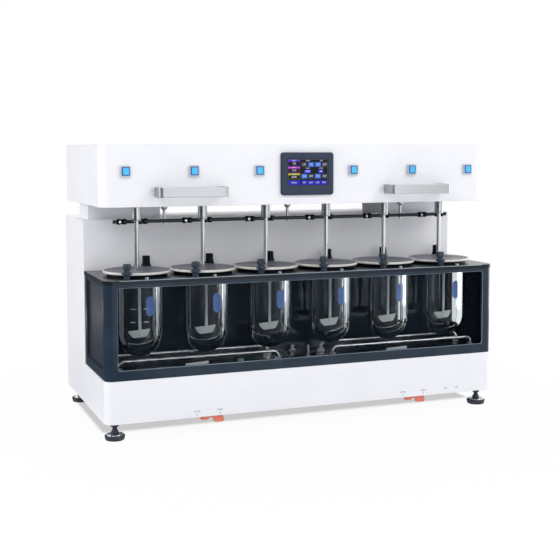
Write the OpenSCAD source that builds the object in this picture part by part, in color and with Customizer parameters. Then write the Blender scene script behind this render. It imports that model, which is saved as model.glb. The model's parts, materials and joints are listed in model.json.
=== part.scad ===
// Water bath dissolution tester: six stirred glass vessels hang in one heated bath,
// under a drive head that lifts on two columns out of the tower behind the bath.
// Millimetres, +Z up, front towards -Y, origin on the floor under the middle.

/* [Body] */
// Overall width of the base, bath and head
body_w = 1030; // [1016:2:1060]
// Overall depth from the bath front to the tower back
body_d = 476; // [470:2:500]
// Height of the levelling feet under the base
foot_h = 42; // [39:1:46]
// Height of the white base under the bath
base_h = 100; // [92:1:112]
// Height of the bath with its cover plate
bath_h = 232; // [228:1:244]
// Depth of the bath in front of the tower
bath_d = 236; // [232:1:240]

/* [Head] */
// Height of the drive head
head_h = 147; // [144:1:160]
// Distance of the head front behind the bath front
head_set_back = 46; // [42:1:52]
// Lift travel of the head on its columns
lift_travel = 200; // [170:5:205]

/* [Columns] */
// Width of each lift column
column_w = 185; // [170:1:190]
// Depth of each lift column
column_d = 107; // [96:1:112]

/* [Stirrers] */
// Distance between neighbouring stirrer axes
pitch = 165; // [164.5:0.5:167]
// Diameter of the stirrer shaft
shaft_d = 10; // [9.5:0.1:10.5]
// Diameter of each vessel lid
lid_d = 162; // [156:1:162]
// Outer diameter of each vessel
vessel_d = 108; // [104:1:109]

/* [Fits] */
// Radial gap of shafts that turn or sit in a bore
run_gap = 0.05; // [0.03:0.01:0.08]
// Gap around parts that are set into an opening
seat_gap = 0.3; // [0.2:0.05:0.4]
// Gap around parts that slide in a guide
slide_gap = 0.6; // [0.5:0.1:0.9]

/* [Hidden] */
$fn = 64;

white = [0.95, 0.95, 0.97];
shade_white = [0.86, 0.88, 0.91];
gloss_black = [0.08, 0.10, 0.13];
steel = [0.72, 0.73, 0.75];
slate = [0.22, 0.26, 0.32];
dark_grey = [0.40, 0.41, 0.46];
clear_glass = [0.82, 0.90, 0.95, 0.35];
smoked = [0.18, 0.24, 0.30, 0.45];
orange = [0.95, 0.42, 0.32];
cyan = [0.33, 0.80, 0.98];

skin = 2;
count = 6;
y_front = -body_d / 2;
y_back = body_d / 2;
y_tower = y_front + bath_d;
y_head = y_front + head_set_back;
y_head_back = y_back;
spindle_set_back = 109;
y_spindle = y_front + spindle_set_back;
function spindle_x(i) = (i - (count - 1) / 2) * pitch;

z_base = foot_h;
z_bath = z_base + base_h;
z_top = z_bath + bath_h;
cover_t = 9;
z_cover = z_top - cover_t;
tower_rise = 126;
z_tower = z_top + tower_rise;
head_gap = 39;
z_head = z_tower + head_gap;
z_roof = z_head + head_h;

base_r = 22;
bath_r = 20;
head_r = 28;
head_w = body_w - 6;
bath_inset = 1.5;
bath_wall = 12;
z_floor = z_bath + bath_wall;
window_t = 6;
window_side = 30;
window_low = z_bath + 23;
window_high = z_cover - 8;

vessel_r = vessel_d / 2;
vessel_wall = 3;
vessel_len = 192;
vessel_flange_r = vessel_r + 9;
vessel_flange_h = 4;
z_round = z_top - vessel_len + vessel_r;
ring_r = vessel_r + 18;
ring_h = 6.3;
lid_t = 6;
z_lid = z_top + ring_h + seat_gap;
knob_x = 46;
knob_y = 91;

chuck_d = 22.5;
chuck_drop = 35;
chuck_up = 50;
end_d = 8;
end_len = 26;
blade_top_r = 41.5;
blade_h = 19;
blade_t = 4;
blade_clear = 38;
blade_turn = 12;
z_blade = z_top - vessel_len + vessel_wall + blade_clear;
collar_d = 22;
collar_h = 8;

column_in = 17;
column_back = 27;
column_x = body_w / 2 - column_in - column_w / 2;
column_y = y_tower + column_back + column_d / 2;
z_column = z_tower - lift_travel - 60;
guide_rim = 12;
guide_h = 30;

plate_t = 5;
handle_x = 300;
handle_l = 170;
handle_t = 3;
handle_h = 23;
handle_reach = head_set_back + 3;
z_handle = z_head + 35;
front_shift = 2;
panel_w = 139;
panel_h = 105;
panel_t = 9;
z_panel = z_head + 75;
screen_w = 108;
screen_h = 66;
screen_up = 3;
screen_t = 3;
cap_w = 18.5;
cap_h = 20;
cap_up = 0.8;
cap_gap = 0.4;
cap_deep = 12;
cap_out = 10;
bezel_w = 24;
bezel_h = 27;
bezel_t = 8;
button_off = 43;
z_button = z_head + 83;
z_cap = z_button + cap_up;
function button_x(i) = spindle_x(i) + front_shift + (i < count / 2 ? -button_off : button_off);

rail_d = 9;
rail_l = 920;
rail_y = y_spindle + 44;
rail_z = z_tower - 1;
hanger_x = 327;
hanger_shift = -3;
hanger_d = 7;
hanger_back = (rail_d + hanger_d) / 2 + 1;
clamp_off = 26;
clamp_l = 24;

rod_d = 8;
rod_bend = 14;
rod_off = 52;
rod_in = 74;
rod_out = body_w / 2 - 42;
rod_z = z_floor + 24;
gland_h = 8;
nozzle_x = 267;
nozzle_shift = -21;
nozzle_l = 56;
nozzle_tip_d = 5;
nozzle_end_d = 11;
nozzle_z = 10;
nozzle_in = 34;
y_nozzle = y_front + nozzle_in;
nozzle_foot_d = 16;
nozzle_foot_h = 3;
nozzle_post_d = 8;
nozzle_bore_l = 20;
probe_x = 8;
probe_h = 30;
strainer_front = 44;
strainer_back = 29;
strainer_left = -175;
strainers = [
    [strainer_left, y_front + strainer_front, 24, 15, 13],
    [probe_x, y_front + bath_d - strainer_back, 20, 11, 14]];

lever_x = 274;
lever_y = y_front + 20;
lever_w = 15;
valve_d = 28;
valve_h = 36;
valve_neck_d = 16;
valve_neck_at = 30;
valve_bore_l = 24;
lever_z = z_base - 20;
stem_d = 8;
rocker_x = 392;
rocker_y = y_front + 17;
rocker_w = 26;
rocker_d = 15;
rocker_h = 9;
rocker_turn = 8;
switch_w = 36;
switch_d = 24;
inlet_x = 115 - body_w / 2;
inlet_w = 50;
inlet_h = 30;
inlet_t = 3;
pad_r = 24;
pad_low_r = 21;
pad_top_r = 19;
pad_h = 14;
pad_edge_low = 3;
pad_edge_high = 10;
foot_x = body_w / 2 - 28;
foot_y = body_d / 2 - 33;

// A rectangle about the origin with four round corners.
module rounded(w, h, r) {
    square([w - 2 * r, h], center = true);
    square([w, h - 2 * r], center = true);
    for (sx = [-1, 1], sy = [-1, 1])
        translate([sx * (w / 2 - r), sy * (h / 2 - r)]) circle(r = r);
}

// A plan outline from y0 back to y1 whose two front corners are round.
module fronted(w, y0, y1, r) {
    translate([-w / 2, y0 + r]) square([w, y1 - y0 - r]);
    translate([-w / 2 + r, y0]) square([w - 2 * r, r + 1]);
    for (s = [-1, 1]) translate([s * (w / 2 - r), y0 + r]) circle(r = r);
}

// A rounded plate that faces the front: its back at y, its thickness towards -Y.
module face_plate(x, y, z, w, h, r, t) {
    translate([x, y, z]) rotate([90, 0, 0]) linear_extrude(t) rounded(w, h, r);
}

// Copies at each stirrer axis.
module at_spindles() {
    for (i = [0 : count - 1]) translate([spindle_x(i), y_spindle, 0]) children();
}

module vent_slots(x, z, rows) {
    for (k = [0 : rows - 1])
        translate([x - 60, y_back - skin - 1, z + 10 * k]) cube([120, skin + 2, 4]);
}

module base_casing() {
    color(white) difference() {
        translate([0, 0, z_base]) linear_extrude(base_h) fronted(body_w, y_front, y_back, base_r);
        translate([0, 0, z_base - 1]) linear_extrude(base_h - skin + 1)
            fronted(body_w - 2 * skin, y_front + skin, y_back - skin, base_r - skin);
        translate([inlet_x, y_back + 1, z_base + 50]) rotate([90, 0, 0]) linear_extrude(skin + 2)
            rounded(inlet_w - 16 + 2 * seat_gap, inlet_h - 6 + 2 * seat_gap, 2);
        vent_slots(300, z_base + 30, 5);
    }
}

module tower_casing() {
    h = z_tower - z_bath;
    color(white) difference() {
        translate([-body_w / 2, y_tower, z_bath]) cube([body_w, y_back - y_tower, h]);
        translate([-body_w / 2 + skin, y_tower + skin, z_bath - 1])
            cube([body_w - 2 * skin, y_back - y_tower - 2 * skin, h - skin + 1]);
        for (s = [-1, 1]) translate([s * column_x, column_y, z_tower - skin / 2])
            cube([column_w + 2 * slide_gap, column_d + 2 * slide_gap, skin + 2], center = true);
        for (s = [-1, 1]) vent_slots(s * 330, z_bath + 60, 8);
    }
}

module bottom_plate() {
    in = skin + seat_gap;
    color(shade_white) difference() {
        translate([0, 0, z_base + 1]) linear_extrude(skin)
            fronted(body_w - 2 * in, y_front + in, y_back - in, base_r - in);
        for (s = [-1, 1]) translate([s * lever_x, lever_y, z_base]) cylinder(d = stem_d + 1, h = skin + 2);
        translate([rocker_x, rocker_y, z_base + 2.5])
            cube([switch_w + 2 * seat_gap, switch_d + 2 * seat_gap, skin + 4], center = true);
    }
}

// Inside outline of the bath.
module bath_hollow() {
    in = bath_inset + bath_wall;
    fronted(body_w - 2 * in, y_front + in, y_tower - bath_wall, bath_r - bath_inset - 4);
}

module bath_frame() {
    w = body_w - 2 * bath_inset;
    color(gloss_black) difference() {
        translate([0, 0, z_bath]) linear_extrude(z_cover - z_bath)
            fronted(w, y_front + bath_inset, y_tower, bath_r - bath_inset);
        translate([0, 0, z_floor]) linear_extrude(z_cover - z_floor + 1) bath_hollow();
        translate([0, y_front + 40, (window_low + window_high) / 2]) rotate([90, 0, 0])
            linear_extrude(60) rounded(body_w - 2 * window_side, window_high - window_low, 6);
        for (s = [-1, 1]) side_opening(s, 0, 60);
    }
}

// The side window's opening or pane: grown by g, from the middle of the wall outwards or inwards.
module side_opening(s, g, t) {
    translate([s * (body_w / 2 - bath_inset - bath_wall + t / 2 - (t > 30 ? 20 : 0)),
        (y_front + window_side + y_tower - 24) / 2, (window_low + window_high) / 2])
        rotate([90, 0, 90]) linear_extrude(t, center = true)
        rounded(bath_d - window_side - 24 - 2 * g, window_high - window_low - 2 * g, 6);
}

module bath_windows() {
    color(smoked) {
        face_plate(0, y_front + bath_inset + bath_wall, (window_low + window_high) / 2,
            body_w - 2 * window_side - 2 * seat_gap, window_high - window_low - 2 * seat_gap,
            6 - seat_gap, window_t);
        for (s = [-1, 1]) side_opening(s, seat_gap, window_t);
    }
}

module bath_cover() {
    color(gloss_black) difference() {
        translate([0, 0, z_cover]) linear_extrude(cover_t) fronted(body_w, y_front, y_tower, bath_r);
        at_spindles() translate([0, 0, z_cover - 1]) cylinder(r = vessel_r + 0.6, h = cover_t + 2);
    }
}

module vessel_rings() {
    color(gloss_black) at_spindles() difference() {
        translate([0, 0, z_top]) cylinder(r = ring_r, h = ring_h);
        translate([0, 0, z_top - 1]) cylinder(r = vessel_flange_r + seat_gap, h = vessel_flange_h + 1.1);
        translate([0, 0, z_top - 1]) cylinder(r = vessel_r - 2, h = ring_h + 2);
    }
}

// One glass vessel: a flanged cylinder with a round bottom.
module vessel() {
    difference() {
        union() {
            translate([0, 0, z_round]) cylinder(r = vessel_r, h = z_top - z_round + vessel_flange_h);
            translate([0, 0, z_round]) sphere(r = vessel_r);
            translate([0, 0, z_top]) cylinder(r = vessel_flange_r, h = vessel_flange_h);
        }
        translate([0, 0, z_round])
            cylinder(r = vessel_r - vessel_wall, h = z_top - z_round + vessel_flange_h + 1);
        translate([0, 0, z_round]) sphere(r = vessel_r - vessel_wall);
    }
}

module vessels() {
    color(clear_glass) at_spindles() vessel();
}

module cover_knobs() {
    profile = [[0, 0], [8, 0], [8, 10], [9.5, 11.5], [12.5, 11.5], [12.5, 16], [9.5, 17],
        [8.5, 19], [8.5, 35], [7.5, 36], [0, 36]];
    color(slate) at_spindles() for (s = [-1, 1])
        translate([s * knob_x, s * knob_y, z_top]) rotate_extrude() polygon(profile);
}

module cover_screws() {
    color(steel) for (i = [0 : count - 1]) translate([spindle_x(i), y_front + 13, z_top]) difference() {
        cylinder(d = 9, h = 4);
        translate([0, 0, 2]) cylinder(d = 4.6, h = 3, $fn = 6);
    }
}

// A rod bent down at both ends, along +X from the origin's side to length l.
module bent_rod(l) {
    translate([rod_bend, 0, 0]) rotate([0, 90, 0]) cylinder(d = rod_d, h = l - 2 * rod_bend);
    for (s = [0, 1]) translate([s * l, 0, 0]) mirror([s, 0, 0]) {
        translate([rod_bend, 0, -rod_bend]) rotate([90, 0, 0]) rotate([0, 0, 90])
            rotate_extrude(angle = 90) translate([rod_bend, 0]) circle(d = rod_d);
        translate([0, 0, z_floor + gland_h - rod_z])
            cylinder(d = rod_d, h = rod_z - rod_bend - z_floor - gland_h);
    }
}

module heater_rods() {
    color(steel) for (sx = [0, 1], sy = [-1, 1]) mirror([sx, 0, 0])
        translate([rod_in, y_spindle + sy * rod_off, rod_z]) bent_rod(rod_out - rod_in);
}

module heater_glands() {
    color(steel) for (sx = [-1, 1], sy = [-1, 1], x = [rod_in, rod_out])
        translate([sx * x, y_spindle + sy * rod_off, z_floor]) {
            cylinder(d = 20, h = 3);
            cylinder(d = 17, h = gland_h, $fn = 6);
        }
}

module bath_probe() {
    color(steel) translate([probe_x, y_front + 62, z_floor]) {
        cylinder(d = 14, h = 5);
        cylinder(d = 6, h = probe_h);
        translate([0, 0, probe_h]) sphere(d = 6);
    }
}

// A tapered jet near the floor: its narrow mouth to the left, its foot under the thick end.
module circulation_nozzles() {
    color(shade_white) for (s = [-1, 1]) translate([s * nozzle_x + nozzle_shift, y_nozzle, z_floor]) {
        translate([nozzle_l / 4, 0, 0]) cylinder(d = nozzle_foot_d, h = nozzle_foot_h);
        translate([nozzle_l / 4, 0, 0]) cylinder(d = nozzle_post_d, h = nozzle_z);
        translate([-nozzle_l / 2, 0, nozzle_z]) rotate([0, 90, 0]) difference() {
            cylinder(d1 = nozzle_tip_d, d2 = nozzle_end_d, h = nozzle_l);
            translate([0, 0, -1]) cylinder(d = nozzle_tip_d / 2, h = nozzle_bore_l);
        }
    }
}

// Each strainer: its x, its y, its flange diameter, its body diameter and its height.
module drain_strainers() {
    color([0.20, 0.55, 0.42]) for (at = strainers) translate([at[0], at[1], z_floor]) {
        cylinder(d = at[2], h = 3);
        difference() {
            cylinder(d = at[3], h = at[4]);
            for (k = [0 : 3]) rotate([0, 0, 45 * k]) translate([0, 0, at[4] / 2 + 2])
                cube([at[2], 1.8, at[4] - 8], center = true);
        }
    }
}

module drain_valves() {
    color(steel) for (s = [-1, 1]) translate([s * lever_x, lever_y, 0]) difference() {
        union() {
            translate([0, 0, z_base + 1 + skin]) cylinder(d = valve_d, h = valve_h);
            translate([0, 0, z_base + valve_neck_at])
                cylinder(d = valve_neck_d, h = base_h - skin - valve_neck_at);
        }
        translate([0, 0, z_base]) cylinder(d = stem_d + 2 * run_gap, h = valve_bore_l);
    }
}

module foot_pads() {
    color(slate) for (sx = [-1, 1], sy = [-1, 1]) translate([sx * foot_x, sy * foot_y, 0])
        rotate_extrude() polygon([[0, 0], [pad_low_r, 0], [pad_r, pad_edge_low], [pad_r, pad_edge_high],
            [pad_top_r, pad_h], [0, pad_h]]);
}

module foot_stems() {
    color(slate) for (sx = [-1, 1], sy = [-1, 1]) translate([sx * foot_x, sy * foot_y, pad_h]) {
        cylinder(d = 12, h = z_base - 13);
        cylinder(d = 17, h = 6);
        translate([0, 0, z_base - 25]) cylinder(d = 20, h = 9, $fn = 6);
    }
}

module column_guides() {
    color(gloss_black) for (s = [-1, 1])
        translate([s * column_x, column_y, z_tower - skin - guide_h / 2]) difference() {
            cube([column_w + 2 * guide_rim, column_d + 2 * guide_rim, guide_h], center = true);
            cube([column_w + 2 * slide_gap, column_d + 2 * slide_gap, guide_h + 2], center = true);
        }
}

module lift_actuators() {
    color(slate) for (s = [-1, 1]) translate([s * column_x, column_y, z_bath])
        translate([-35, -35, 0]) cube([70, 70, z_column - z_bath]);
}

module power_inlet() {
    color(gloss_black) difference() {
        union() {
            translate([inlet_x, y_back + inlet_t, z_base + 50]) rotate([90, 0, 0])
                linear_extrude(inlet_t) rounded(inlet_w, inlet_h, 4);
            translate([inlet_x, y_back, z_base + 50]) rotate([90, 0, 0])
                linear_extrude(26) rounded(inlet_w - 16, inlet_h - 6, 2);
        }
        translate([inlet_x, y_back + inlet_t + 1, z_base + 50]) rotate([90, 0, 0])
            linear_extrude(22) difference() {
                rounded(25, 17, 3);
                for (k = [-1 : 1]) translate([7 * k, k == 0 ? 2 : -2]) square([2, 5], center = true);
            }
    }
}

module switch_housing() {
    color(shade_white) difference() {
        translate([rocker_x - switch_w / 2, rocker_y - switch_d / 2, z_base - 2])
            cube([switch_w, switch_d, 20]);
        translate([rocker_x, rocker_y, z_base + 3])
            cube([rocker_w + 3.2, rocker_d + 2 * slide_gap, 22], center = true);
    }
}

// The hole that button i slides in, cut forwards from y through a depth.
module cap_hole(i, y, depth) {
    face_plate(button_x(i), y, z_cap, cap_w + 2 * cap_gap, cap_h + 2 * cap_gap, 2, depth);
}

module head_cover() {
    color(white) difference() {
        translate([0, 0, z_head]) linear_extrude(head_h) fronted(head_w, y_head, y_head_back, head_r);
        translate([0, 0, z_head - 1]) linear_extrude(head_h - skin + 1)
            fronted(head_w - 2 * skin, y_head + skin, y_head_back - skin, head_r - skin);
        for (i = [0 : count - 1]) cap_hole(i, y_head + skin + 1, skin + 2);
    }
}

module head_plate() {
    in = skin + seat_gap;
    color(shade_white) difference() {
        translate([0, 0, z_head]) linear_extrude(plate_t)
            fronted(head_w - 2 * in, y_head + in, y_head_back - in, head_r - in);
        at_spindles() translate([0, 0, z_head - 1]) cylinder(d = chuck_d + 2 * slide_gap, h = plate_t + 2);
    }
}

module lift_columns() {
    h = z_head - z_column;
    color(shade_white) for (s = [-1, 1]) translate([s * column_x, column_y, z_column]) difference() {
        translate([-column_w / 2, -column_d / 2, 0]) cube([column_w, column_d, h]);
        translate([-column_w / 2 + skin, -column_d / 2 + skin, 8])
            cube([column_w - 2 * skin, column_d - 2 * skin, h]);
    }
}

module handles() {
    tab = 18;
    bend = 11;
    z = z_handle - handle_h / 2;
    color(steel) for (s = [-1, 1]) translate([s * handle_x, 0, z]) linear_extrude(handle_h) {
        difference() {
            fronted(handle_l, y_head - handle_reach, y_head, bend);
            fronted(handle_l - 2 * handle_t, y_head - handle_reach + handle_t, y_head + 1, bend - handle_t);
        }
        for (e = [-1, 1]) translate([e * (handle_l / 2 - tab / 2) - tab / 2, y_head - handle_t])
            square([tab, handle_t]);
    }
}

module panel_bezel() {
    y = y_head - panel_t + screen_t;
    color(slate) difference() {
        face_plate(front_shift, y_head, z_panel, panel_w, panel_h, 7, panel_t);
        face_plate(front_shift, y, z_panel + screen_up, screen_w, screen_h, 2, screen_t + 1);
    }
}

module panel_screen() {
    color([0.10, 0.16, 0.38])
        face_plate(front_shift, y_head - panel_t + screen_t, z_panel + screen_up, screen_w - 2 * seat_gap,
            screen_h - 2 * seat_gap, 2 - seat_gap, screen_t - 1.2);
}

module button_bezels() {
    color([0.62, 0.66, 0.70]) for (i = [0 : count - 1]) difference() {
        face_plate(button_x(i), y_head, z_button, bezel_w, bezel_h, 3, bezel_t);
        cap_hole(i, y_head + 1, bezel_t + 2);
    }
}

module sampling_rail() {
    color(slate) translate([-rail_l / 2, rail_y, rail_z]) rotate([0, 90, 0]) cylinder(d = rail_d, h = rail_l);
}

// Each hanger stands just behind the rail and holds it with a short lug.
module rail_hangers() {
    drop = z_head - rail_z;
    color(steel) for (k = [-1 : 1])
        translate([k * hanger_x + hanger_shift, rail_y + hanger_back, rail_z]) difference() {
            union() {
                translate([0, 0, drop - 10]) cylinder(d = 17, h = 10);
                translate([0, 0, drop - 14]) cylinder(d1 = hanger_d, d2 = 17, h = 4);
                translate([0, 0, -10]) cylinder(d = hanger_d, h = drop);
                translate([-4, -hanger_back, -3]) cube([8, hanger_back, 6]);
            }
            translate([0, -hanger_back, 0]) rotate([0, 90, 0])
                cylinder(d = rail_d + 2 * run_gap, h = 20, center = true);
        }
}

// One clamp on the rail: a split collar with a round boss for its screw.
module rail_clamp() {
    difference() {
        union() {
            rotate([0, 90, 0]) cylinder(d = 14, h = clamp_l, center = true);
            for (s = [-1, 1]) translate([s * (clamp_l / 2 - 6), 0, 0])
                rotate([90, 0, 0]) cylinder(d = 10, h = 10);
        }
        rotate([0, 90, 0]) cylinder(d = rail_d + 2 * run_gap, h = clamp_l + 2, center = true);
        translate([-clamp_l, 4, -0.6]) cube([2 * clamp_l, 10, 1.2]);
    }
}

module rail_clamps() {
    color(gloss_black) for (i = [0 : count - 1], s = [-1, 1])
        translate([spindle_x(i) + s * clamp_off, rail_y, rail_z]) rail_clamp();
}

module spindle_motors() {
    color(slate) at_spindles() translate([0, 0, z_head + plate_t]) difference() {
        union() {
            cylinder(r = 24, h = 52);
            translate([0, 0, 52]) cylinder(r = 29, h = head_h - plate_t - 52 - 30);
        }
        translate([0, 0, -1]) cylinder(d = chuck_d + 4, h = chuck_up - plate_t + 4);
        cylinder(d = end_d + 2 * run_gap, h = chuck_up - plate_t + end_len + 2);
    }
}

// The drive end that grips one shaft, with its thinner end up in the motor.
module chuck(i) {
    z = z_head - chuck_drop;
    color(steel) translate([spindle_x(i), y_spindle, 0]) difference() {
        union() {
            translate([0, 0, z]) cylinder(d = chuck_d, h = chuck_drop + chuck_up);
            translate([0, 0, z_head + chuck_up]) cylinder(d = end_d, h = end_len);
        }
        translate([0, 0, z - 1]) cylinder(d = shaft_d + 2 * run_gap, h = chuck_drop + chuck_up - 9);
    }
}

// One stirrer: the shaft, the collar that its lid sits on, and the blade.
module paddle(i) {
    color(steel) translate([spindle_x(i), y_spindle, 0]) {
        translate([0, 0, z_blade + 4]) cylinder(d = shaft_d, h = z_head + chuck_up - 12 - z_blade - 4);
        translate([0, 0, z_lid - seat_gap - collar_h]) cylinder(d = collar_d, h = collar_h);
        rotate([0, 0, blade_turn]) translate([0, blade_t / 2, z_blade + 36]) rotate([90, 0, 0])
            linear_extrude(blade_t) intersection() {
                circle(r = blade_top_r);
                translate([-50, -36]) square([100, blade_h]);
            }
    }
}

module lid(i) {
    color(dark_grey) translate([spindle_x(i), y_spindle, z_lid]) difference() {
        cylinder(d = lid_d, h = lid_t);
        translate([0, 0, -1]) cylinder(d = shaft_d + 2 * seat_gap, h = lid_t + 2);
    }
}

module button(i) {
    color(cyan) face_plate(button_x(i), y_head - cap_out + cap_deep, z_cap, cap_w, cap_h, 1.6, cap_deep);
}

// A dipped valve lever under the base: its hub on the stem, its grip bent down at the right.
module drain_lever(s) {
    color(orange) translate([s * lever_x, lever_y, lever_z]) difference() {
        union() {
            translate([0, 0, 8]) cylinder(d = 18, h = 11);
            translate([0, 0, 8]) cylinder(d = stem_d, h = 32);
            translate([0, lever_w / 2, 0]) rotate([90, 0, 0]) linear_extrude(lever_w)
                polygon([[0, 8], [8, 8], [24, 1], [27, 0], [49, 0], [49, 12], [45, 17], [38, 19], [0, 19]]);
        }
        translate([16, 0, 4]) rotate([90, 0, 0]) cylinder(d = 17, h = lever_w + 2, center = true);
    }
}

module drain_lever_left() {
    drain_lever(-1);
}

module drain_lever_right() {
    drain_lever(1);
}

module power_rocker() {
    color(white) translate([rocker_x, rocker_y, z_base + 1]) rotate([0, rocker_turn, 0])
        cube([rocker_w, rocker_d, rocker_h], center = true);
}

base_casing();
tower_casing();
bottom_plate();
bath_frame();
bath_windows();
bath_cover();
vessel_rings();
vessels();
cover_knobs();
cover_screws();
heater_rods();
heater_glands();
bath_probe();
circulation_nozzles();
drain_strainers();
drain_valves();
foot_pads();
foot_stems();
column_guides();
lift_actuators();
power_inlet();
switch_housing();
head_cover();
head_plate();
lift_columns();
handles();
panel_bezel();
panel_screen();
button_bezels();
sampling_rail();
rail_hangers();
rail_clamps();
spindle_motors();
chuck(0);  // chuck_1
chuck(1);  // chuck_2
chuck(2);  // chuck_3
chuck(3);  // chuck_4
chuck(4);  // chuck_5
chuck(5);  // chuck_6
paddle(0);  // paddle_1
paddle(1);  // paddle_2
paddle(2);  // paddle_3
paddle(3);  // paddle_4
paddle(4);  // paddle_5
paddle(5);  // paddle_6
lid(0);  // lid_1
lid(1);  // lid_2
lid(2);  // lid_3
lid(3);  // lid_4
lid(4);  // lid_5
lid(5);  // lid_6
button(0);  // button_1
button(1);  // button_2
button(2);  // button_3
button(3);  // button_4
button(4);  // button_5
button(5);  // button_6
drain_lever_left();
drain_lever_right();
power_rocker();
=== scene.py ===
# %% [markdown]
# # A water bath dissolution tester
# Six glass vessels hang in one heated water bath. A white drive head above them turns six paddles and lifts
# away on two columns. The solid model is loaded as a fixed frame, and this lesson dresses it: it keeps the
# solids whose shape is right, gives them finishes, and makes finer skins where the eye asks for more.

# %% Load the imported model
import json
import math

import bmesh
import bpy
import numpy as np
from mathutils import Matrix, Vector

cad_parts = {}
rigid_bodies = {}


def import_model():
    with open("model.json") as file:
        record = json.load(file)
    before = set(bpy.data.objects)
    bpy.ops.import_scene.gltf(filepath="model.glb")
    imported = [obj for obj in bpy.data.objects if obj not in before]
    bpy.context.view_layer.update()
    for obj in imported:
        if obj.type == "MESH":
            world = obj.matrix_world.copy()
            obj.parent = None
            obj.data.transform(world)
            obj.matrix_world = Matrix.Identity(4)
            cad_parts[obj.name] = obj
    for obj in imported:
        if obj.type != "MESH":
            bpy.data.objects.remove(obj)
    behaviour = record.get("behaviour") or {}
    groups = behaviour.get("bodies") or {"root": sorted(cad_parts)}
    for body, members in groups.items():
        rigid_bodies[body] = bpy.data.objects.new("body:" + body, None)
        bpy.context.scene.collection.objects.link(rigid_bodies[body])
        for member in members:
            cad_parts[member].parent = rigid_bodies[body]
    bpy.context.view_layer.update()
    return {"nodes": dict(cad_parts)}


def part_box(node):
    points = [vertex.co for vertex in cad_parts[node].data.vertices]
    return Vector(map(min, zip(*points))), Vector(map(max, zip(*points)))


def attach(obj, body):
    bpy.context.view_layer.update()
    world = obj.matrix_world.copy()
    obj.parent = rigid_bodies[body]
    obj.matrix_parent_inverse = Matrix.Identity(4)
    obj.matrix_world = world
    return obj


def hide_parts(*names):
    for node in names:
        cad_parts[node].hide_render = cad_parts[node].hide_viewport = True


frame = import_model()
scene = bpy.context.scene
mm_per_m, m_per_mm = 1000.0, 0.001


# %% Sizes that the new pieces take from the solids
def box_mm(node_name):
    """Lowest and highest corner of a solid as a 2 by 3 array in millimetres."""
    return np.array([list(corner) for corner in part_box(node_name)]) * mm_per_m


axes = np.array([box_mm(f"chuck_{i}").mean(0)[:2] for i in range(1, 7)])
head_low, head_high = box_mm("head_cover")
base_low, base_high = box_mm("base_casing")
cover_low, cover_high = box_mm("bath_cover")
vessel_foot, vessel_r = box_mm("vessels")[0][2], 54.0
print("stirrer axes (mm):", axes.round(1).tolist())

# %% [markdown]
# ## The camera
# The view is slightly from the left and just below the roof's edge. A least-squares fit of known corners to
# the picture gave place, angle and lens. The upright edges stay nearly upright, as with a view camera: the
# tilt is small, and a lens shift does the rest of the downward look.

# %% Camera
lens = bpy.data.cameras.new("view_camera")
lens.sensor_width, lens.lens, lens.shift_y = 36.0, 67.36, -0.0969
lens.clip_start, lens.clip_end = 0.05, 60.0
camera = bpy.data.objects.new("view_camera", lens)
camera.location = (-1.0104, -2.5770, 0.6662)
camera.rotation_euler = (math.radians(86.0), 0.0, math.radians(-21.546))
scene.collection.objects.link(camera)
scene.camera = camera
print("camera at", [round(v, 3) for v in camera.location])

# %% [markdown]
# ## Colours and shader nodes
# Colours are written as the hex values one would pick off a sample card. Shaders want linear light, so one
# function converts them. A second small function adds a shader node with its settings, numbers and links, so
# that each finish below reads like a recipe.


# %% Colour and node helpers
def linear(code):
    """Turns an sRGB hex code into linear red, green, blue and alpha 1."""
    srgb = np.array([int(code[k:k + 2], 16) for k in (1, 3, 5)]) / 255.0
    low = srgb / 12.92
    high = ((srgb + 0.055) / 1.055) ** 2.4
    return (*np.where(srgb <= 0.04045, low, high).tolist(), 1.0)


def node(tree, kind, settings=None, values=None, links=None):
    """Adds one shader node: settings are its own options, values its sockets, links the sockets it reads."""
    made = tree.nodes.new(kind)
    for key, value in (settings or {}).items():
        setattr(made, key, value)
    for key, value in (values or {}).items():
        made.inputs[key].default_value = value
    for key, source in (links or {}).items():
        tree.links.new(source, made.inputs[key])
    return made


print("white paint in linear light:", [round(v, 3) for v in linear("#f3f3f7")[:3]])

# %% [markdown]
# ## Room, floor and light
# A product like this is photographed in a white tent: broad soft light and a white ground that melts into
# the background. The world lights the object gently, and shows plain white wherever the camera, a mirror
# or a glass looks at it. The floor does the same all round, and well under the base it has a painted shadow.
# Polished steel and gloss black need something dark to mirror, so dark curtains hang at the left front and
# behind, and only reflections see them. A third, in front, is seen only by light that leaves the water. The
# floor darkens in two more directions, left and left back, because the base's left side mirrors it there.


# %% Direct looks
def seen_directly(tree):
    """A 0 to 1 output: 1 where the ray comes from the camera, a reflection or a refraction."""
    path = node(tree, "ShaderNodeLightPath")
    either = node(tree, "ShaderNodeMath", {"operation": "MAXIMUM"},
                  links={0: path.outputs["Is Camera Ray"], 1: path.outputs["Is Glossy Ray"]})
    both = node(tree, "ShaderNodeMath", {"operation": "MAXIMUM"},
                links={0: either.outputs[0], 1: path.outputs["Is Transmission Ray"]})
    return both.outputs[0]


print("helper for direct looks ready")

# %% Curtains
# A curtain is the kind of ray that sees it, the direction in which it hangs, and two cosines of the angle to
# that direction: where it starts and where it is full.
mirrored, refracted = "Is Glossy Ray", "Is Transmission Ray"
curtains = [(mirrored, (-0.72, -0.69, 0.0), 0.77, 0.90), (mirrored, (-0.21, 0.98, 0.0), 0.955, 0.985),
            (refracted, (-0.20, -0.98, 0.0), 0.88, 0.96)]
floor_curtains = curtains + [(mirrored, (-0.74, 0.67, 0.0), 0.90, 0.97),
                             (mirrored, (-0.99, 0.14, 0.0), 0.80, 0.92)]
cloth_grey = linear("#4c5056")


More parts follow.
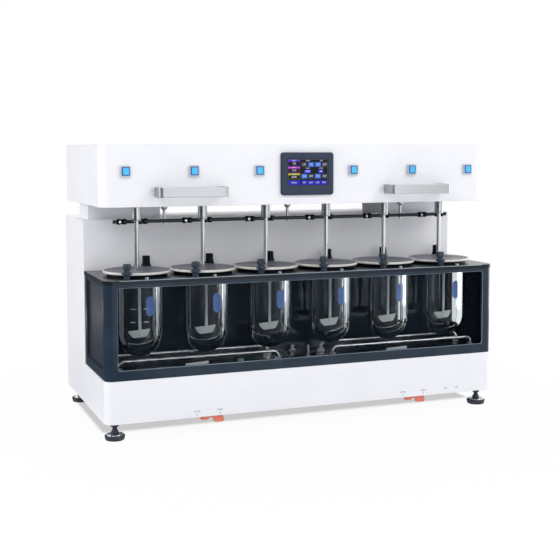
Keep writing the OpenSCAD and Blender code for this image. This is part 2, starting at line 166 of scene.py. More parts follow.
def curtain(tree, way, hangs):
    """A 0 to 1 output: 1 for a ray of the right kind towards a curtain. The level unit vector of way, times
    the curtain's direction, gives a cosine, and a smooth step leads from starts to full."""
    path = node(tree, "ShaderNodeLightPath")
    flat = node(tree, "ShaderNodeVectorMath", {"operation": "MULTIPLY"}, {1: (1.0, 1.0, 0.0)}, {0: way})
    unit = node(tree, "ShaderNodeVectorMath", {"operation": "NORMALIZE"}, links={0: flat.outputs["Vector"]})
    share = None
    for kind, direction, starts, full in hangs:
        towards = node(tree, "ShaderNodeVectorMath", {"operation": "DOT_PRODUCT"}, {1: direction},
                       {0: unit.outputs["Vector"]})
        near = node(tree, "ShaderNodeMapRange", {"interpolation_type": "SMOOTHSTEP"},
                    {"From Min": starts, "From Max": full}, {"Value": towards.outputs["Value"]})
        seen = node(tree, "ShaderNodeMath", {"operation": "MULTIPLY"},
                    links={0: near.outputs["Result"], 1: path.outputs[kind]}).outputs[0]
        share = seen if share is None else node(tree, "ShaderNodeMath", {"operation": "MAXIMUM"},
                                                links={0: share, 1: seen}).outputs[0]
    return share


print("curtains:", len(curtains), "and on the floor", len(floor_curtains))

# %% World
world = bpy.data.worlds.new("white_tent")
world.use_nodes = True
tree = world.node_tree
tree.nodes.clear()
ambient = node(tree, "ShaderNodeBackground", values={"Color": linear("#eef2fa"), "Strength": 0.43})
backdrop = node(tree, "ShaderNodeBackground", values={"Color": (1, 1, 1, 1), "Strength": 1.0})
choice = node(tree, "ShaderNodeMixShader", links={0: seen_directly(tree), 1: ambient.outputs[0],
                                                  2: backdrop.outputs[0]})
view_way = node(tree, "ShaderNodeTexCoord")
cloth = node(tree, "ShaderNodeBackground", values={"Color": cloth_grey, "Strength": 1.0})
hung = node(tree, "ShaderNodeMixShader", links={0: curtain(tree, view_way.outputs["Generated"], curtains),
                                                1: choice.outputs[0], 2: cloth.outputs[0]})
node(tree, "ShaderNodeOutputWorld", links={"Surface": hung.outputs[0]})
scene.world = world
scene.view_settings.view_transform = "Standard"
print("world:", world.name)

# %% Floor
floor_half = 8.0
floor_corners = [(x * floor_half, y * floor_half, 0.0) for x, y in ((-1, -1), (1, -1), (1, 1), (-1, 1))]
floor_mesh = bpy.data.meshes.new("floor")
floor_mesh.from_pydata(floor_corners, [], [(0, 1, 2, 3)])
floor = bpy.data.objects.new("floor", floor_mesh)
scene.collection.objects.link(floor)
print("floor:", 2 * floor_half, "m square")

# %% Painted shadow under the base
# The sweep is overexposed, and only well under the base it gets a painted shadow. Each border of that
# painted shadow is the value that is looked at, where the shadow starts and where it is full, in metres.
tent = bpy.data.materials.new("matt_white_sweep")
tent.use_nodes = True
tree = tent.node_tree
tree.nodes.clear()
here = node(tree, "ShaderNodeTexCoord")
spot = node(tree, "ShaderNodeSeparateXYZ", links={"Vector": here.outputs["Object"]})
across = node(tree, "ShaderNodeMath", {"operation": "ABSOLUTE"}, links={0: spot.outputs["X"]})
side_end, front_end, back_end = base_high[0] / mm_per_m, base_low[1] / mm_per_m, base_high[1] / mm_per_m
painted_shadow_borders = [(across.outputs[0], side_end - 0.006, side_end - 0.020),
                 (spot.outputs["Y"], front_end + 0.080, front_end + 0.112),
                 (spot.outputs["Y"], back_end - 0.015, back_end - 0.045)]
painted_shadow_mask = None
for value, starts, full in painted_shadow_borders:
    inside = node(tree, "ShaderNodeMapRange", {"interpolation_type": "SMOOTHSTEP"},
                  {"From Min": starts, "From Max": full}, {"Value": value}).outputs["Result"]
    painted_shadow_mask = inside if painted_shadow_mask is None else node(tree, "ShaderNodeMath", {"operation": "MULTIPLY"},
                                              links={0: painted_shadow_mask, 1: inside}).outputs[0]
print("shadow borders:", len(painted_shadow_borders))

# %% Floor finish
# Matt white, overexposed: it glows white where it is seen directly, by 0.95 near the object and fully beyond
# 1.2 m, and less in the painted shadow, where its matt white also gives way to a painted dark grey. The
# curtains start past the base.
painted_shadow_depth = 0.40
away = node(tree, "ShaderNodeVectorMath", {"operation": "LENGTH"}, links={0: here.outputs["Object"]})
far = node(tree, "ShaderNodeMapRange", {"interpolation_type": "SMOOTHSTEP"},
           {"From Min": 0.5, "From Max": 1.2, "To Min": 0.95, "To Max": 1.0},
           {"Value": away.outputs["Value"]})
glow_outside_painted_shadow = node(tree, "ShaderNodeMath", {"operation": "MULTIPLY_ADD"}, {1: -painted_shadow_depth, 2: 1.0}, {0: painted_shadow_mask})
lit_share = node(tree, "ShaderNodeMath", {"operation": "MULTIPLY"},
                 links={0: far.outputs["Result"], 1: glow_outside_painted_shadow.outputs[0]})
shown = node(tree, "ShaderNodeMath", {"operation": "MULTIPLY"},
             links={0: seen_directly(tree), 1: lit_share.outputs[0]})
matt = node(tree, "ShaderNodeBsdfDiffuse", values={"Color": linear("#f2f2f4")})
# Painted shadow: well under the base the matt white gives way to this dark grey.
painted_shadow_grey = node(tree, "ShaderNodeBsdfDiffuse", values={"Color": linear("#3c3e42")})
ground = node(tree, "ShaderNodeMixShader", links={0: painted_shadow_mask, 1: matt.outputs[0], 2: painted_shadow_grey.outputs[0]})
bright = node(tree, "ShaderNodeEmission", values={"Color": (1, 1, 1, 1), "Strength": 1.0})
sweep_mix = node(tree, "ShaderNodeMixShader", links={0: shown.outputs[0], 1: ground.outputs[0],
                                                     2: bright.outputs[0]})
cloth = node(tree, "ShaderNodeEmission", values={"Color": cloth_grey, "Strength": 1.0})
beyond = node(tree, "ShaderNodeMapRange", {"interpolation_type": "SMOOTHSTEP"},
              {"From Min": 0.52, "From Max": 0.62}, {"Value": away.outputs["Value"]})
dark_share = node(tree, "ShaderNodeMath", {"operation": "MULTIPLY"},
                  links={0: curtain(tree, here.outputs["Object"], floor_curtains), 1: beyond.outputs[0]})
curtained = node(tree, "ShaderNodeMixShader", links={0: dark_share.outputs[0], 1: sweep_mix.outputs[0],
                                                     2: cloth.outputs[0]})
node(tree, "ShaderNodeOutputMaterial", links={"Surface": curtained.outputs[0]})
floor_mesh.materials.append(tent)
print("floor finish:", tent.name)


# %% Lamps
def softbox(name, place, aim, size, power):
    """A square area lamp at place (m) that looks at aim, with its power in watts."""
    lamp = bpy.data.lights.new(name, "AREA")
    lamp.shape, lamp.size, lamp.energy = "SQUARE", size, power
    holder = bpy.data.objects.new(name, lamp)
    holder.location = place
    way = np.array(aim, float) - np.array(place, float)
    flat = math.hypot(way[0], way[1])
    holder.rotation_euler = (math.atan2(flat, -way[2]), 0.0, math.atan2(way[1], way[0]) - math.pi / 2)
    scene.collection.objects.link(holder)


softbox("left_box", (-2.2, -2.6, 2.3), (0, -0.1, 0.4), 1.3, 27)
softbox("right_box", (2.2, -2.6, 2.3), (0, -0.1, 0.4), 1.3, 27)
softbox("front_box", (0.5, -3.4, 1.05), (0, 0, 0.4), 2.4, 25)
softbox("side_box", (-3.2, 0.3, 1.4), (0, 0, 0.4), 1.8, 45)
softbox("end_box", (2.1, 0.0, 0.5), (0.5, 0, 0.35), 1.1, 11)
softbox("top_box", (0.0, 0.2, 3.2), (0, 0, 0.5), 2.4, 14)
softbox("back_box", (0.8, 3.2, 1.8), (0, 0, 0.4), 2.0, 16)

# %% [markdown]
# ## A general finish
# Almost every real surface has two things that a flat colour lacks: a faint clouding of its colour, and a
# grain that makes gloss and relief uneven. Each finish could be a node tree of its own. One recipe gives both
# things to all of them, with sizes in real millimetres, so that they can be compared line by line. An
# optional edge radius lets sharp sheet edges catch light as if they were slightly broken.


# %% The finish recipe
# Noise seldom leaves this range, so the whole swing of colour and gloss is laid across it.
noise_low, noise_high = 0.3, 0.7


def finish(name, light, dark, rough, grain, dent=0.0, stretch=(1, 1, 1), cloud=80.0, edge=0.0, shader=None):
    """A Principled surface. Colour wanders between dark and light in clouds of one size (mm); roughness and
    relief follow a noise with another grain (mm), pulled out by stretch; dent is the relief's depth (mm)."""
    made = bpy.data.materials.new(name)
    made.use_nodes = True
    tree = made.node_tree
    tree.nodes.clear()
    here = node(tree, "ShaderNodeTexCoord")
    pulled = node(tree, "ShaderNodeMapping", values={"Scale": stretch},
                  links={"Vector": here.outputs["Object"]})
    clouds = node(tree, "ShaderNodeTexNoise", values={"Scale": mm_per_m / cloud, "Detail": 3.0},
                  links={"Vector": pulled.outputs["Vector"]})
    tint = node(tree, "ShaderNodeValToRGB", links={"Fac": clouds.outputs["Fac"]})
    for stop, place, colour in zip(tint.color_ramp.elements, (noise_low, noise_high), (dark, light)):
        stop.position, stop.color = place, linear(colour)
    grains = node(tree, "ShaderNodeTexNoise", values={"Scale": mm_per_m / grain, "Detail": 2.0},
                  links={"Vector": pulled.outputs["Vector"]})
    gloss = node(tree, "ShaderNodeMapRange", links={"Value": grains.outputs["Fac"]},
                 values={"From Min": noise_low, "From Max": noise_high,
                         "To Min": rough[0], "To Max": rough[1]})
    relief = node(tree, "ShaderNodeBump", values={"Strength": 1.0, "Distance": dent / mm_per_m},
                  links={"Height": grains.outputs["Fac"]})
    if edge:
        broken = node(tree, "ShaderNodeBevel", {"samples": 4}, {"Radius": edge / mm_per_m})
        tree.links.new(broken.outputs["Normal"], relief.inputs["Normal"])
    body = node(tree, "ShaderNodeBsdfPrincipled", values=shader,
                links={"Base Color": tint.outputs["Color"], "Roughness": gloss.outputs["Result"],
                       "Normal": relief.outputs["Normal"]})
    node(tree, "ShaderNodeOutputMaterial", links={"Surface": body.outputs["BSDF"]})
    return made


print("finish recipe ready")

# %% [markdown]
# ## Sheet metal and plastics
# The casing is folded steel sheet with a white powder coat: satin, with an orange-peel relief about 2 mm
# wide. The tank is gloss black cast acrylic, so nearly all that one sees of it is reflection. The small
# fittings are moulded nylon and ABS, which are duller and a little uneven. One gloss value for all would be
# quick, but then they would look like the same plastic, so each has its own grain, clouding and sheen.

# %% Coatings
# Powder coat: white, a soft satin sheen, peel bumps a few hundredths of a millimetre deep.
white_coat = finish("powder_coated_white_steel", "#f4f4f6", "#f0f0f3", (0.34, 0.44), 2.2, 0.012, edge=1.2,
                    shader={"IOR": 1.5, "Specular IOR Level": 0.4})
# The underside plates have the same coat, thinner and greyer.
grey_coat = finish("powder_coated_grey_sheet", "#d9dce1", "#d2d5db", (0.42, 0.55), 2.2, 0.012, edge=0.8,
                   shader={"IOR": 1.5})
# Anodic dark coat on the rail: near black with a blue cast, drawn lines along X.
rail_coat = finish("dark_anodised_rail", "#16202b", "#0f1822", (0.28, 0.42), 1.0, 0.004, (0.05, 1, 1),
                   shader={"IOR": 1.5})
print("coatings:", white_coat.name, grey_coat.name, rail_coat.name)

# %% Plastics
# Cast acrylic, polished: black, its colour lifted to a blue grey that is a painted sheen for its bluish
# gloss; gloss dimmed by wiping, faint waves from casting.
black_acrylic_painted_sheen = finish("black_cast_acrylic", "#2c3946", "#222e39", (0.06, 0.12), 45.0, 0.010, edge=0.9,
                       shader={"IOR": 1.49, "Specular IOR Level": 0.22})
# The cover plate is the same sheet, a little dulled by lids and wiping.
cover_acrylic = finish("black_wiped_acrylic", "#1d242b", "#161c22", (0.17, 0.26), 3.0, 0.002, edge=0.8,
                       shader={"IOR": 1.49, "Specular IOR Level": 0.22})
# Moulded nylon: black, slightly open surface.
black_nylon = finish("black_moulded_nylon", "#090e15", "#05090e", (0.35, 0.5), 1.2, 0.01, edge=0.5,
                     shader={"IOR": 1.53, "Specular IOR Level": 0.07})
# Glass-filled nylon of the knobs: slate, with a fine moulded grain.
slate_nylon = finish("slate_glass_filled_nylon", "#36424d", "#28323b", (0.38, 0.52), 1.0, 0.015, cloud=14.0,
                     shader={"IOR": 1.53, "Specular IOR Level": 0.25})
# ABS bezel of the panel: blue slate, spark-eroded texture of about 0.8 mm (drawn coarser than the real one).
slate_abs = finish("slate_textured_abs", "#2c394d", "#263244", (0.42, 0.55), 0.8, 0.012, cloud=40.0,
                   shader={"IOR": 1.53, "Specular IOR Level": 0.25})
# ABS bezels of the buttons: pale grey, an even satin from a smooth mould.
grey_abs = finish("grey_satin_abs", "#c9ccd0", "#bfc2c7", (0.35, 0.45), 1.0, 0.006, cloud=20.0, edge=0.4,
                  shader={"IOR": 1.53})
# Moulded polypropylene: milky white with a waxy half gloss.
white_pp = finish("white_moulded_polypropylene", "#eceef0", "#e2e5e8", (0.32, 0.45), 1.5, 0.006, cloud=30.0,
                  edge=0.4, shader={"IOR": 1.49})
# The same plastic in the strainer's dull green, a little cloudier.
green_pp = finish("green_moulded_polypropylene", "#86b8a6", "#6fa391", (0.35, 0.5), 1.5, 0.01, cloud=20.0,
                  shader={"IOR": 1.49})
# Rubber of the feet: charcoal and dull, with an open moulded grain.
foot_rubber = finish("black_foot_rubber", "#2c343d", "#20272e", (0.6, 0.75), 1.4, 0.03, cloud=18.0,
                     shader={"IOR": 1.52})
# Fluoropolymer coat of the stirrers' wetted ends: off-white, waxy, with the fine grain of a sprayed coat.
blade_coat = finish("off_white_fluoropolymer_coat", "#f0f1ee", "#e6e8e5", (0.35, 0.48), 1.2, 0.008,
                    cloud=25.0, shader={"IOR": 1.38})
# PVC dip: thick, orange red, with the slight sag and sheen of a dipped coat.
lever_vinyl = finish("orange_dipped_vinyl", "#f58c72", "#ea7458", (0.25, 0.38), 6.0, 0.08, cloud=16.0,
                     shader={"IOR": 1.52, "Subsurface Weight": 0.15,
                             "Subsurface Radius": (0.004, 0.002, 0.001)})
print("finishes so far:", len(bpy.data.materials))

# %% [markdown]
# ## Metals
# Stainless steel shows how it was worked. Turned sleeves and ground shafts have fine rings, drawn rods have
# lines along them, and the strap handles were brushed along their length. Each lay could be a pattern of its
# own, but stretching the same noise along one axis gives all of them.

# %% Steels and other metals
bare_metal = {"Metallic": 1.0}
# Turned: bright, rings about 0.4 mm apart (drawn 0.8 mm so that they show).
turned_steel = finish("turned_stainless_steel", "#b9bbbe", "#a6a9ac", (0.24, 0.34), 0.8, 0.002,
                      (0.08, 0.08, 1), shader=bare_metal)
# Ground shafts: the lay runs round the bar, so the noise is pulled out along X and Y.
ground_steel = finish("ground_stainless_steel", "#b8babc", "#a7a9ac", (0.18, 0.26), 1.2, 0.002,
                      (0.3, 0.3, 1), shader=bare_metal)
# Brushed straps: scratches along X.
brushed_steel = finish("brushed_stainless_steel", "#b1b4b8", "#a4a7ab", (0.34, 0.46), 0.7, 0.003,
                       (0.03, 1, 1), shader=bare_metal)
# Drawn heater rods: brighter, with die lines along X.
drawn_steel = finish("drawn_stainless_rod", "#dcdddd", "#cccdce", (0.18, 0.3), 1.0, 0.002, (0.05, 1, 1),
                     shader=bare_metal)
# Machined small parts: bright with no clear lay, and broken edges that glint.
plain_steel = finish("plain_machined_steel", "#c4c6c8", "#b4b6b9", (0.2, 0.34), 1.0, 0.003, edge=0.3,
                     shader=bare_metal)
# Machined brass: warm yellow, half bright.
valve_brass = finish("plain_machined_brass", "#c9a45c", "#b98f45", (0.25, 0.4), 1.0, 0.003, shader=bare_metal)
# Darker screw steel: the same screws as the bright ones, made dark and half dull as a painted shade where
# they glint less, with the metal's glint still in it.
painted_dark_screw_steel = finish("screw_steel_painted_dark", "#3a3d42", "#2b2e33", (0.3, 0.42), 0.8, 0.003,
                     shader=bare_metal)
# Cast aluminium: grey and dull, with the pebbled skin of the mould.
cast_aluminium = finish("cast_aluminium", "#a7a9ac", "#94969a", (0.4, 0.6), 1.6, 0.02, shader=bare_metal)
print("metals:", turned_steel.name, ground_steel.name, brushed_steel.name)

# %% [markdown]
# ## Glass, acrylic windows and water
# In the real machine the tank is full of water and the vessels hold air. That is why each vessel shows a
# bright band near its edge: from water, a grazing look at air is a perfect mirror. The windows are lightly
# smoked sheet. They are see-through by alpha, because a flat thin sheet hardly bends what is behind it.


# %% Clear bodies
def clear(name, colour, ior, rough, wave):
    """A clear body: full transmission with its index, and a slow ripple (mm) in its surface."""
    made = bpy.data.materials.new(name)
    made.use_nodes = True
    tree = made.node_tree
    tree.nodes.clear()
    here = node(tree, "ShaderNodeTexCoord")
    ripple = node(tree, "ShaderNodeTexNoise", values={"Scale": mm_per_m / wave},
                  links={"Vector": here.outputs["Object"]})
    relief = node(tree, "ShaderNodeBump", values={"Strength": 1.0, "Distance": 0.00001},
                  links={"Height": ripple.outputs["Fac"]})
    body = node(tree, "ShaderNodeBsdfPrincipled", links={"Normal": relief.outputs["Normal"]},
                values={"Base Color": linear(colour), "IOR": ior, "Roughness": rough,
                        "Transmission Weight": 1.0})
    node(tree, "ShaderNodeOutputMaterial", links={"Surface": body.outputs["BSDF"]})
    return made


# Bath water: clear with the faintest blue, always a little in motion.
water_recipe = ("#f4f9fc", 1.333, 0.0, 90.0)
bath_water = clear("bath_water", *water_recipe)
print("clear body:", bath_water.name)

# %% Glass and window sheet
# Blown borosilicate: a thin colourless wall. Wet outside, it hardly mirrors, so a little alpha is enough.
vessel_glass = finish("blown_borosilicate_glass", "#121c26", "#0d151d", (0.0, 0.03), 60.0, 0.01,
                      shader={"IOR": 1.47, "Alpha": 0.02})
# Smoked acrylic sheet: dark blue-grey, mostly see-through, polished.
smoked_sheet = finish("smoked_acrylic_sheet", "#0c1722", "#0a131c", (0.02, 0.05), 60.0, 0.004,
                      shader={"IOR": 1.49, "Alpha": 0.03, "Specular IOR Level": 0.3})
print("sheet and glass:", smoked_sheet.name, vessel_glass.name)

# %% Water against the walls
# Against the window the water has no surface of its own, so seen from outside its mirror is nearly dark.
window_water = clear("bath_water_at_the_window", *water_recipe)
tree = window_water.node_tree
side = node(tree, "ShaderNodeNewGeometry")
mirror = node(tree, "ShaderNodeValToRGB", links={"Fac": side.outputs["Backfacing"]})
mirror.color_ramp.elements[0].color = linear("#33506a")
water_body = next(n for n in tree.nodes if n.type == "BSDF_PRINCIPLED")
tree.links.new(mirror.outputs["Color"], water_body.inputs["Specular Tint"])
# Wet end walls: seen head on one looks through the pane, and at a slant the water doesn't mirror there, but
# shows their dark wet side.
end_water = clear("bath_water_at_the_end_walls", *water_recipe)
tree = end_water.node_tree
slant = node(tree, "ShaderNodeLayerWeight", values={"Blend": 0.5})
grazing = node(tree, "ShaderNodeMapRange", values={"From Min": 0.33, "From Max": 0.37},
               links={"Value": slant.outputs["Facing"]})
wet_wall = node(tree, "ShaderNodeBsdfDiffuse", values={"Color": linear("#0e1c2a")})
outlet = next(n for n in tree.nodes if n.type == "OUTPUT_MATERIAL")
through = outlet.inputs["Surface"].links[0].from_socket
looked_at = node(tree, "ShaderNodeMixShader", links={0: grazing.outputs["Result"], 1: through,
                                                     2: wet_wall.outputs["BSDF"]})
tree.links.new(looked_at.outputs["Shader"], outlet.inputs["Surface"])
print("water at the walls:", window_water.name, end_water.name)

# %% Light paths
# A look through window, water and vessel and back crosses many surfaces, so light may bounce more often.
scene.cycles.max_bounces = 24
scene.cycles.transmission_bounces = 20
scene.cycles.glossy_bounces = 12
scene.cycles.transparent_max_bounces = 32
print("bounces:", scene.cycles.max_bounces)

# %% [markdown]
# ## Solids that stay
# Folded casings, the tank, the vessels and the small fittings already have their true shape in the solid
# model. They could be modelled again, but that adds nothing, so they stay and only get their finish.

# %% Finishes for the solids that are kept
kept = {
    white_coat: ["base_casing", "tower_casing", "lift_columns"],
    grey_coat: ["bottom_plate", "head_plate"],
    black_acrylic_painted_sheen: ["bath_frame"],
    cover_acrylic: ["bath_cover"],
    smoked_sheet: ["bath_windows"],
    vessel_glass: ["vessels"],
    black_nylon: ["vessel_rings", "column_guides", "power_inlet"],
    plain_steel: ["cover_screws", "heater_glands", "bath_probe"],
    drawn_steel: ["heater_rods"],
    white_pp: ["circulation_nozzles", "switch_housing", "power_rocker"],
    valve_brass: ["drain_valves"],
    cast_aluminium: ["lift_actuators", "spindle_motors"],
    rail_coat: ["sampling_rail"],
    turned_steel: ["rail_hangers"],
    grey_abs: ["button_bezels"],
}


def dress(solid, material):
    """Puts one material into every slot of a solid's object."""
    if not solid.material_slots:
        solid.data.materials.append(material)
    for slot in solid.material_slots:
        slot.material = material


for material, names in kept.items():
    for name in names:
        dress(frame["nodes"][name], material)
print("dressed solids:", sum(len(names) for names in kept.values()))

# %% [markdown]
# ## Turning arrays into meshes
# Every new piece is a stack of closed rings: rows run along the piece, columns run round it. Joining each
# ring to the next gives quads, and filling the first and last ring closes the piece. If the signed volume
# comes out negative, the faces are turned round, so that they always point outwards. Faces could be added one
# by one, but whole arrays are quicker and keep each shape's formula in sight.


# %% Faces of ring stacks
def ring_faces(copies, rows, columns, loop, first=0):
    """Faces of several ring stacks: quad (i, j) joins ring i to ring i + 1; ends are filled, or looped. The
    number of the stacks' first point is first."""
    i = np.arange(rows if loop else rows - 1)[:, None]
    j = np.arange(columns)[None, :]
    nxt, side = (i + 1) % rows * columns, (j + 1) % columns
    quads = np.stack([i * columns + j, i * columns + side, nxt + side, nxt + j], -1).reshape(-1, 4)
    start = (first + np.arange(copies) * rows * columns)[:, None, None]
    faces = (quads[None] + start).reshape(-1, 4).tolist()
    if not loop:
        ends = np.stack([np.arange(columns)[::-1], (rows - 1) * columns + np.arange(columns)])
        faces += (ends[None] + start).reshape(-1, columns).tolist()
    return faces


def volume(points, faces):
    """Signed volume: the sum of a . (b x c) / 6 over each face's triangles, fanned from its first corner."""
    quads = points[np.array([f for f in faces if len(f) == 4])]
    a, b, c, d = quads[:, 0], quads[:, 1], quads[:, 2], quads[:, 3]
    total = (a * np.cross(b, c)).sum() + (a * np.cross(c, d)).sum()
    for cap in (f for f in faces if len(f) != 4):
        ring = points[cap]
        total += (ring[0] * np.cross(ring[1:-1], ring[2:])).sum()
    return total / 6.0


print("faces of a small ring stack:", len(ring_faces(1, 3, 8, False)))

# %% Rings to mesh
crisp_angle = 32.0


def piece(name, parts, body, looks, sharp=crisp_angle):
    """Makes one mesh piece. parts are (points[copies, rows, columns, 3] in mm, loop, kind per row or None);
    looks are its materials; edges sharper than the angle stay crisp."""
    points, faces, kinds, start = [], [], [], 0
    for grid, loop, kind in parts:
        copies, rows, columns = grid.shape[:3]
        points.append(grid.reshape(-1, 3))
        made = ring_faces(copies, rows, columns, loop, start)
        start += len(points[-1])
        if volume(np.concatenate(points), made) < 0:
            made = [f[::-1] for f in made]
        steps = rows if loop else rows - 1
        row_kind = np.zeros(steps, int) if kind is None else np.array(kind, int)
        kinds += np.tile(np.repeat(row_kind, columns), copies).tolist()
        if not loop:
            kinds += [int(row_kind[0]), int(row_kind[-1])] * copies
        faces += made
    mesh = bpy.data.meshes.new(name)
    mesh.from_pydata((np.concatenate(points) * m_per_mm).tolist(), [], faces)
    for material in looks:
        mesh.materials.append(material)
    mesh.polygons.foreach_set("material_index", kinds)
    mesh.shade_smooth()
    mesh.set_sharp_from_angle(angle=math.radians(sharp))
    mesh.update()
    made = bpy.data.objects.new(name, mesh)
    scene.collection.objects.link(made)
    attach(made, body)
    return made


print("mesh maker ready")

# %% [markdown]
# ## Outlines
# Most of the machine's plates are rounded rectangles. One function walks round such an outline with the same
# number of points whatever its size, so that outlines of different sizes can be joined ring to ring. Two
# guard points beside each corner keep the shading of the long flat sides flat.


# %% Rounded outline
def outline(x0, x1, z0, z1, radii, steps=8, guard=2.0, least=0.05):
    """Closed outline of a rectangle with corner radii (right low, right high, left high, left low): a quarter
    circle at each corner, never tighter than least, and a guard point on the straight side before and after
    it. Returns n by 2."""
    corners = [(x1, z0, 1, -1, -90), (x1, z1, 1, 1, 0), (x0, z1, -1, 1, 90), (x0, z0, -1, -1, 180)]
    walk = []
    for (x, z, sx, sz, begin), r in zip(corners, radii):
        r = max(r, least)
        centre = np.array([x - sx * r, z - sz * r])
        turn = np.radians(begin + np.linspace(0.0, 90.0, steps + 1))
        arc = centre + r * np.stack([np.cos(turn), np.sin(turn)], -1)
        along = np.array([np.cos(turn[0] + np.pi / 2), np.sin(turn[0] + np.pi / 2)])
        leave = np.array([np.cos(turn[-1] + np.pi / 2), np.sin(turn[-1] + np.pi / 2)])
        walk += [arc[:1] - guard * along, arc, arc[-1:] + guard * leave]
    return np.concatenate(walk)


def stack(outlines, heights, upright):
    """Stacks n by 2 outlines as rings at heights: along Z when upright, else along Y (outline is X and Z)."""
    flat = np.stack(outlines)
    depth = np.broadcast_to(np.array(heights, float)[:, None, None], flat.shape[:2] + (1,))
    order = [flat[..., :1], flat[..., 1:], depth] if upright else [flat[..., :1], depth, flat[..., 1:]]
    return np.concatenate(order, -1)[None]


print("points in one outline:", len(outline(0, 10, 0, 10, (1, 1, 1, 1))))

# %% [markdown]
# ## The head's cover
# The cover is one drawn sheet box with broad round corners at the front and a 5 mm bend along the roof. The
# solid has a sharp roof edge, so this skin replaces it. A bevelled box would do for the bend, but not for the
# turned-in hem, so the plan outline is carried along the wall's section: in at the hem, up the wall, over the
# bend and onto the roof.

# %% Head cover skin
# Each ring of the section is drawn in by head_in and stands head_up above the roof or above the hem.
roof_bend, front_corner, back_corner = 5.0, 28.0, 4.0
bend = np.radians(np.linspace(0, 90, 8))
head_in = np.concatenate([[6.0, 2.0, 2.0, 0.8, 0.2, 0.0, 0.0, 0.0], roof_bend * (1 - np.cos(bend)), [9.0]])
head_up = np.concatenate([[-2.0, -6.0, 0, 0, 0.2, 0.8, 3.0, -8.0],
                          -roof_bend + roof_bend * np.sin(bend), [0.0]])
from_roof = np.array([1, 1, 0, 0, 0, 0, 0, 1] + [1] * 9)
head_z = np.where(from_roof, head_high[2], head_low[2]) + head_up
head_rings = [outline(head_low[0] + d, head_high[0] - d, head_low[1] + d, head_high[1] - d,
                      (front_corner - d, back_corner - d, back_corner - d, front_corner - d), 12)
              for d in head_in]
head_skin = piece("head_cover_skin", [(stack(head_rings, head_z, True), False, None)], "head", [white_coat])
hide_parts("head_cover")
print("head cover skin:", len(head_skin.data.polygons), "faces")

# %% [markdown]
# ## Water in the tank
# The water is a block with six round-bottomed wells for the vessels. Cutting the wells out with a boolean
# would leave long thin faces that spoil the refraction, so the top is laid out as one square-to-round patch
# for each vessel, and neighbouring patches share their edge points. The wells are turned profiles. The floor
# is wet: the block reaches a little into it, so it has no mirror there. A hair of air stays at the other
# walls, which mirror the light into the vessels' bright edges.

# %% Water levels and wells
per_side = 24
ramp = np.linspace(0.0, 1.0, per_side, endpoint=False)
water_end, water_y, water_top, water_low = 501.2, (-224.2, -14.3), 361.0, 153.0
water_x = np.concatenate([[-water_end], (axes[1:, 0] + axes[:-1, 0]) / 2, [water_end]])
well_r, well_mid = vessel_r + 0.5, vessel_foot + vessel_r
turn = np.concatenate([np.radians(-45 + 90 * (k + ramp)) for k in range(4)])
circle = np.stack([np.cos(turn), np.sin(turn)], -1)
well_z = np.concatenate([np.linspace(water_top, well_mid, 9),
                         well_mid - well_r * np.sin(np.radians(np.arange(4, 90, 4)))])
well_w = np.sqrt(np.maximum(well_r**2 - np.minimum(well_z - well_mid, 0.0)**2, 0.0))
print("rings down one well:", len(well_z))


# %% One patch of water
def cell(i):
    """Rings from a rectangle's edge to the well's rim, then down the well: the edge point k and the rim point
    at the same quarter share a column."""
    x0, x1, y0, y1 = water_x[i], water_x[i + 1], *water_y
    edge = np.concatenate([np.stack([0 * ramp + x1, y0 + (y1 - y0) * ramp], -1),
                           np.stack([x1 + (x0 - x1) * ramp, 0 * ramp + y1], -1),
                           np.stack([0 * ramp + x0, y1 + (y0 - y1) * ramp], -1),
                           np.stack([x0 + (x1 - x0) * ramp, 0 * ramp + y0], -1)])
    rim = axes[i] + well_r * circle
    share = np.array([0.0, 0.5])[:, None, None]
    top = np.concatenate([edge[None] * (1 - share) + rim[None] * share,
                          np.full((2, len(turn), 1), water_top)], -1)
    well = np.concatenate([axes[i] + well_w[:, None, None] * circle,
                           np.broadcast_to(well_z[:, None, None], (len(well_z), len(turn), 1))], -1)
    return np.concatenate([top, well])


print("points in one patch:", cell(0).reshape(-1, 3).shape[0])

# %% Water block
points, faces = [], []
for i in range(len(axes)):
    rings = cell(i)
    rows, columns = rings.shape[:2]
    start = sum(len(p) for p in points)
    points.append(rings.reshape(-1, 3))
    made = ring_faces(1, rows, columns, False, start)
    # The well's foot is filled, and the patch's outer edge stays open.
    faces += made[:-2] + made[-1:]
rim_x = np.concatenate([low + (high - low) * ramp for low, high in zip(water_x[:-1], water_x[1:])])
front = np.stack([rim_x, 0 * rim_x + water_y[0]], -1)
right = np.stack([0 * ramp + water_x[-1], water_y[0] + (water_y[1] - water_y[0]) * ramp], -1)
rim = np.concatenate([front, right, -front * [1, 0] + [0, water_y[1]],
                      np.stack([0 * ramp + water_x[0], water_y[1] + (water_y[0] - water_y[1]) * ramp], -1)])
count, start = len(rim), sum(len(p) for p in points)
points += [np.column_stack([rim, np.full(count, level)]) for level in (water_top, water_low)]
k = np.arange(count)
faces += (np.stack([k, (k + 1) % count, (k + 1) % count + count, k + count], -1) + start).tolist()
faces.append((start + count + k).tolist())
mesh = bpy.data.meshes.new("bath_water")
mesh.from_pydata((np.concatenate(points) * m_per_mm).tolist(), [], faces)
joined = bmesh.new()
joined.from_mesh(mesh)
bmesh.ops.remove_doubles(joined, verts=joined.verts, dist=1e-6)
bmesh.ops.recalc_face_normals(joined, faces=joined.faces)
open_edges = sum(not edge.is_manifold for edge in joined.edges)
joined.to_mesh(mesh)
joined.free()
print("water:", len(mesh.polygons), "faces, open edges:", open_edges)

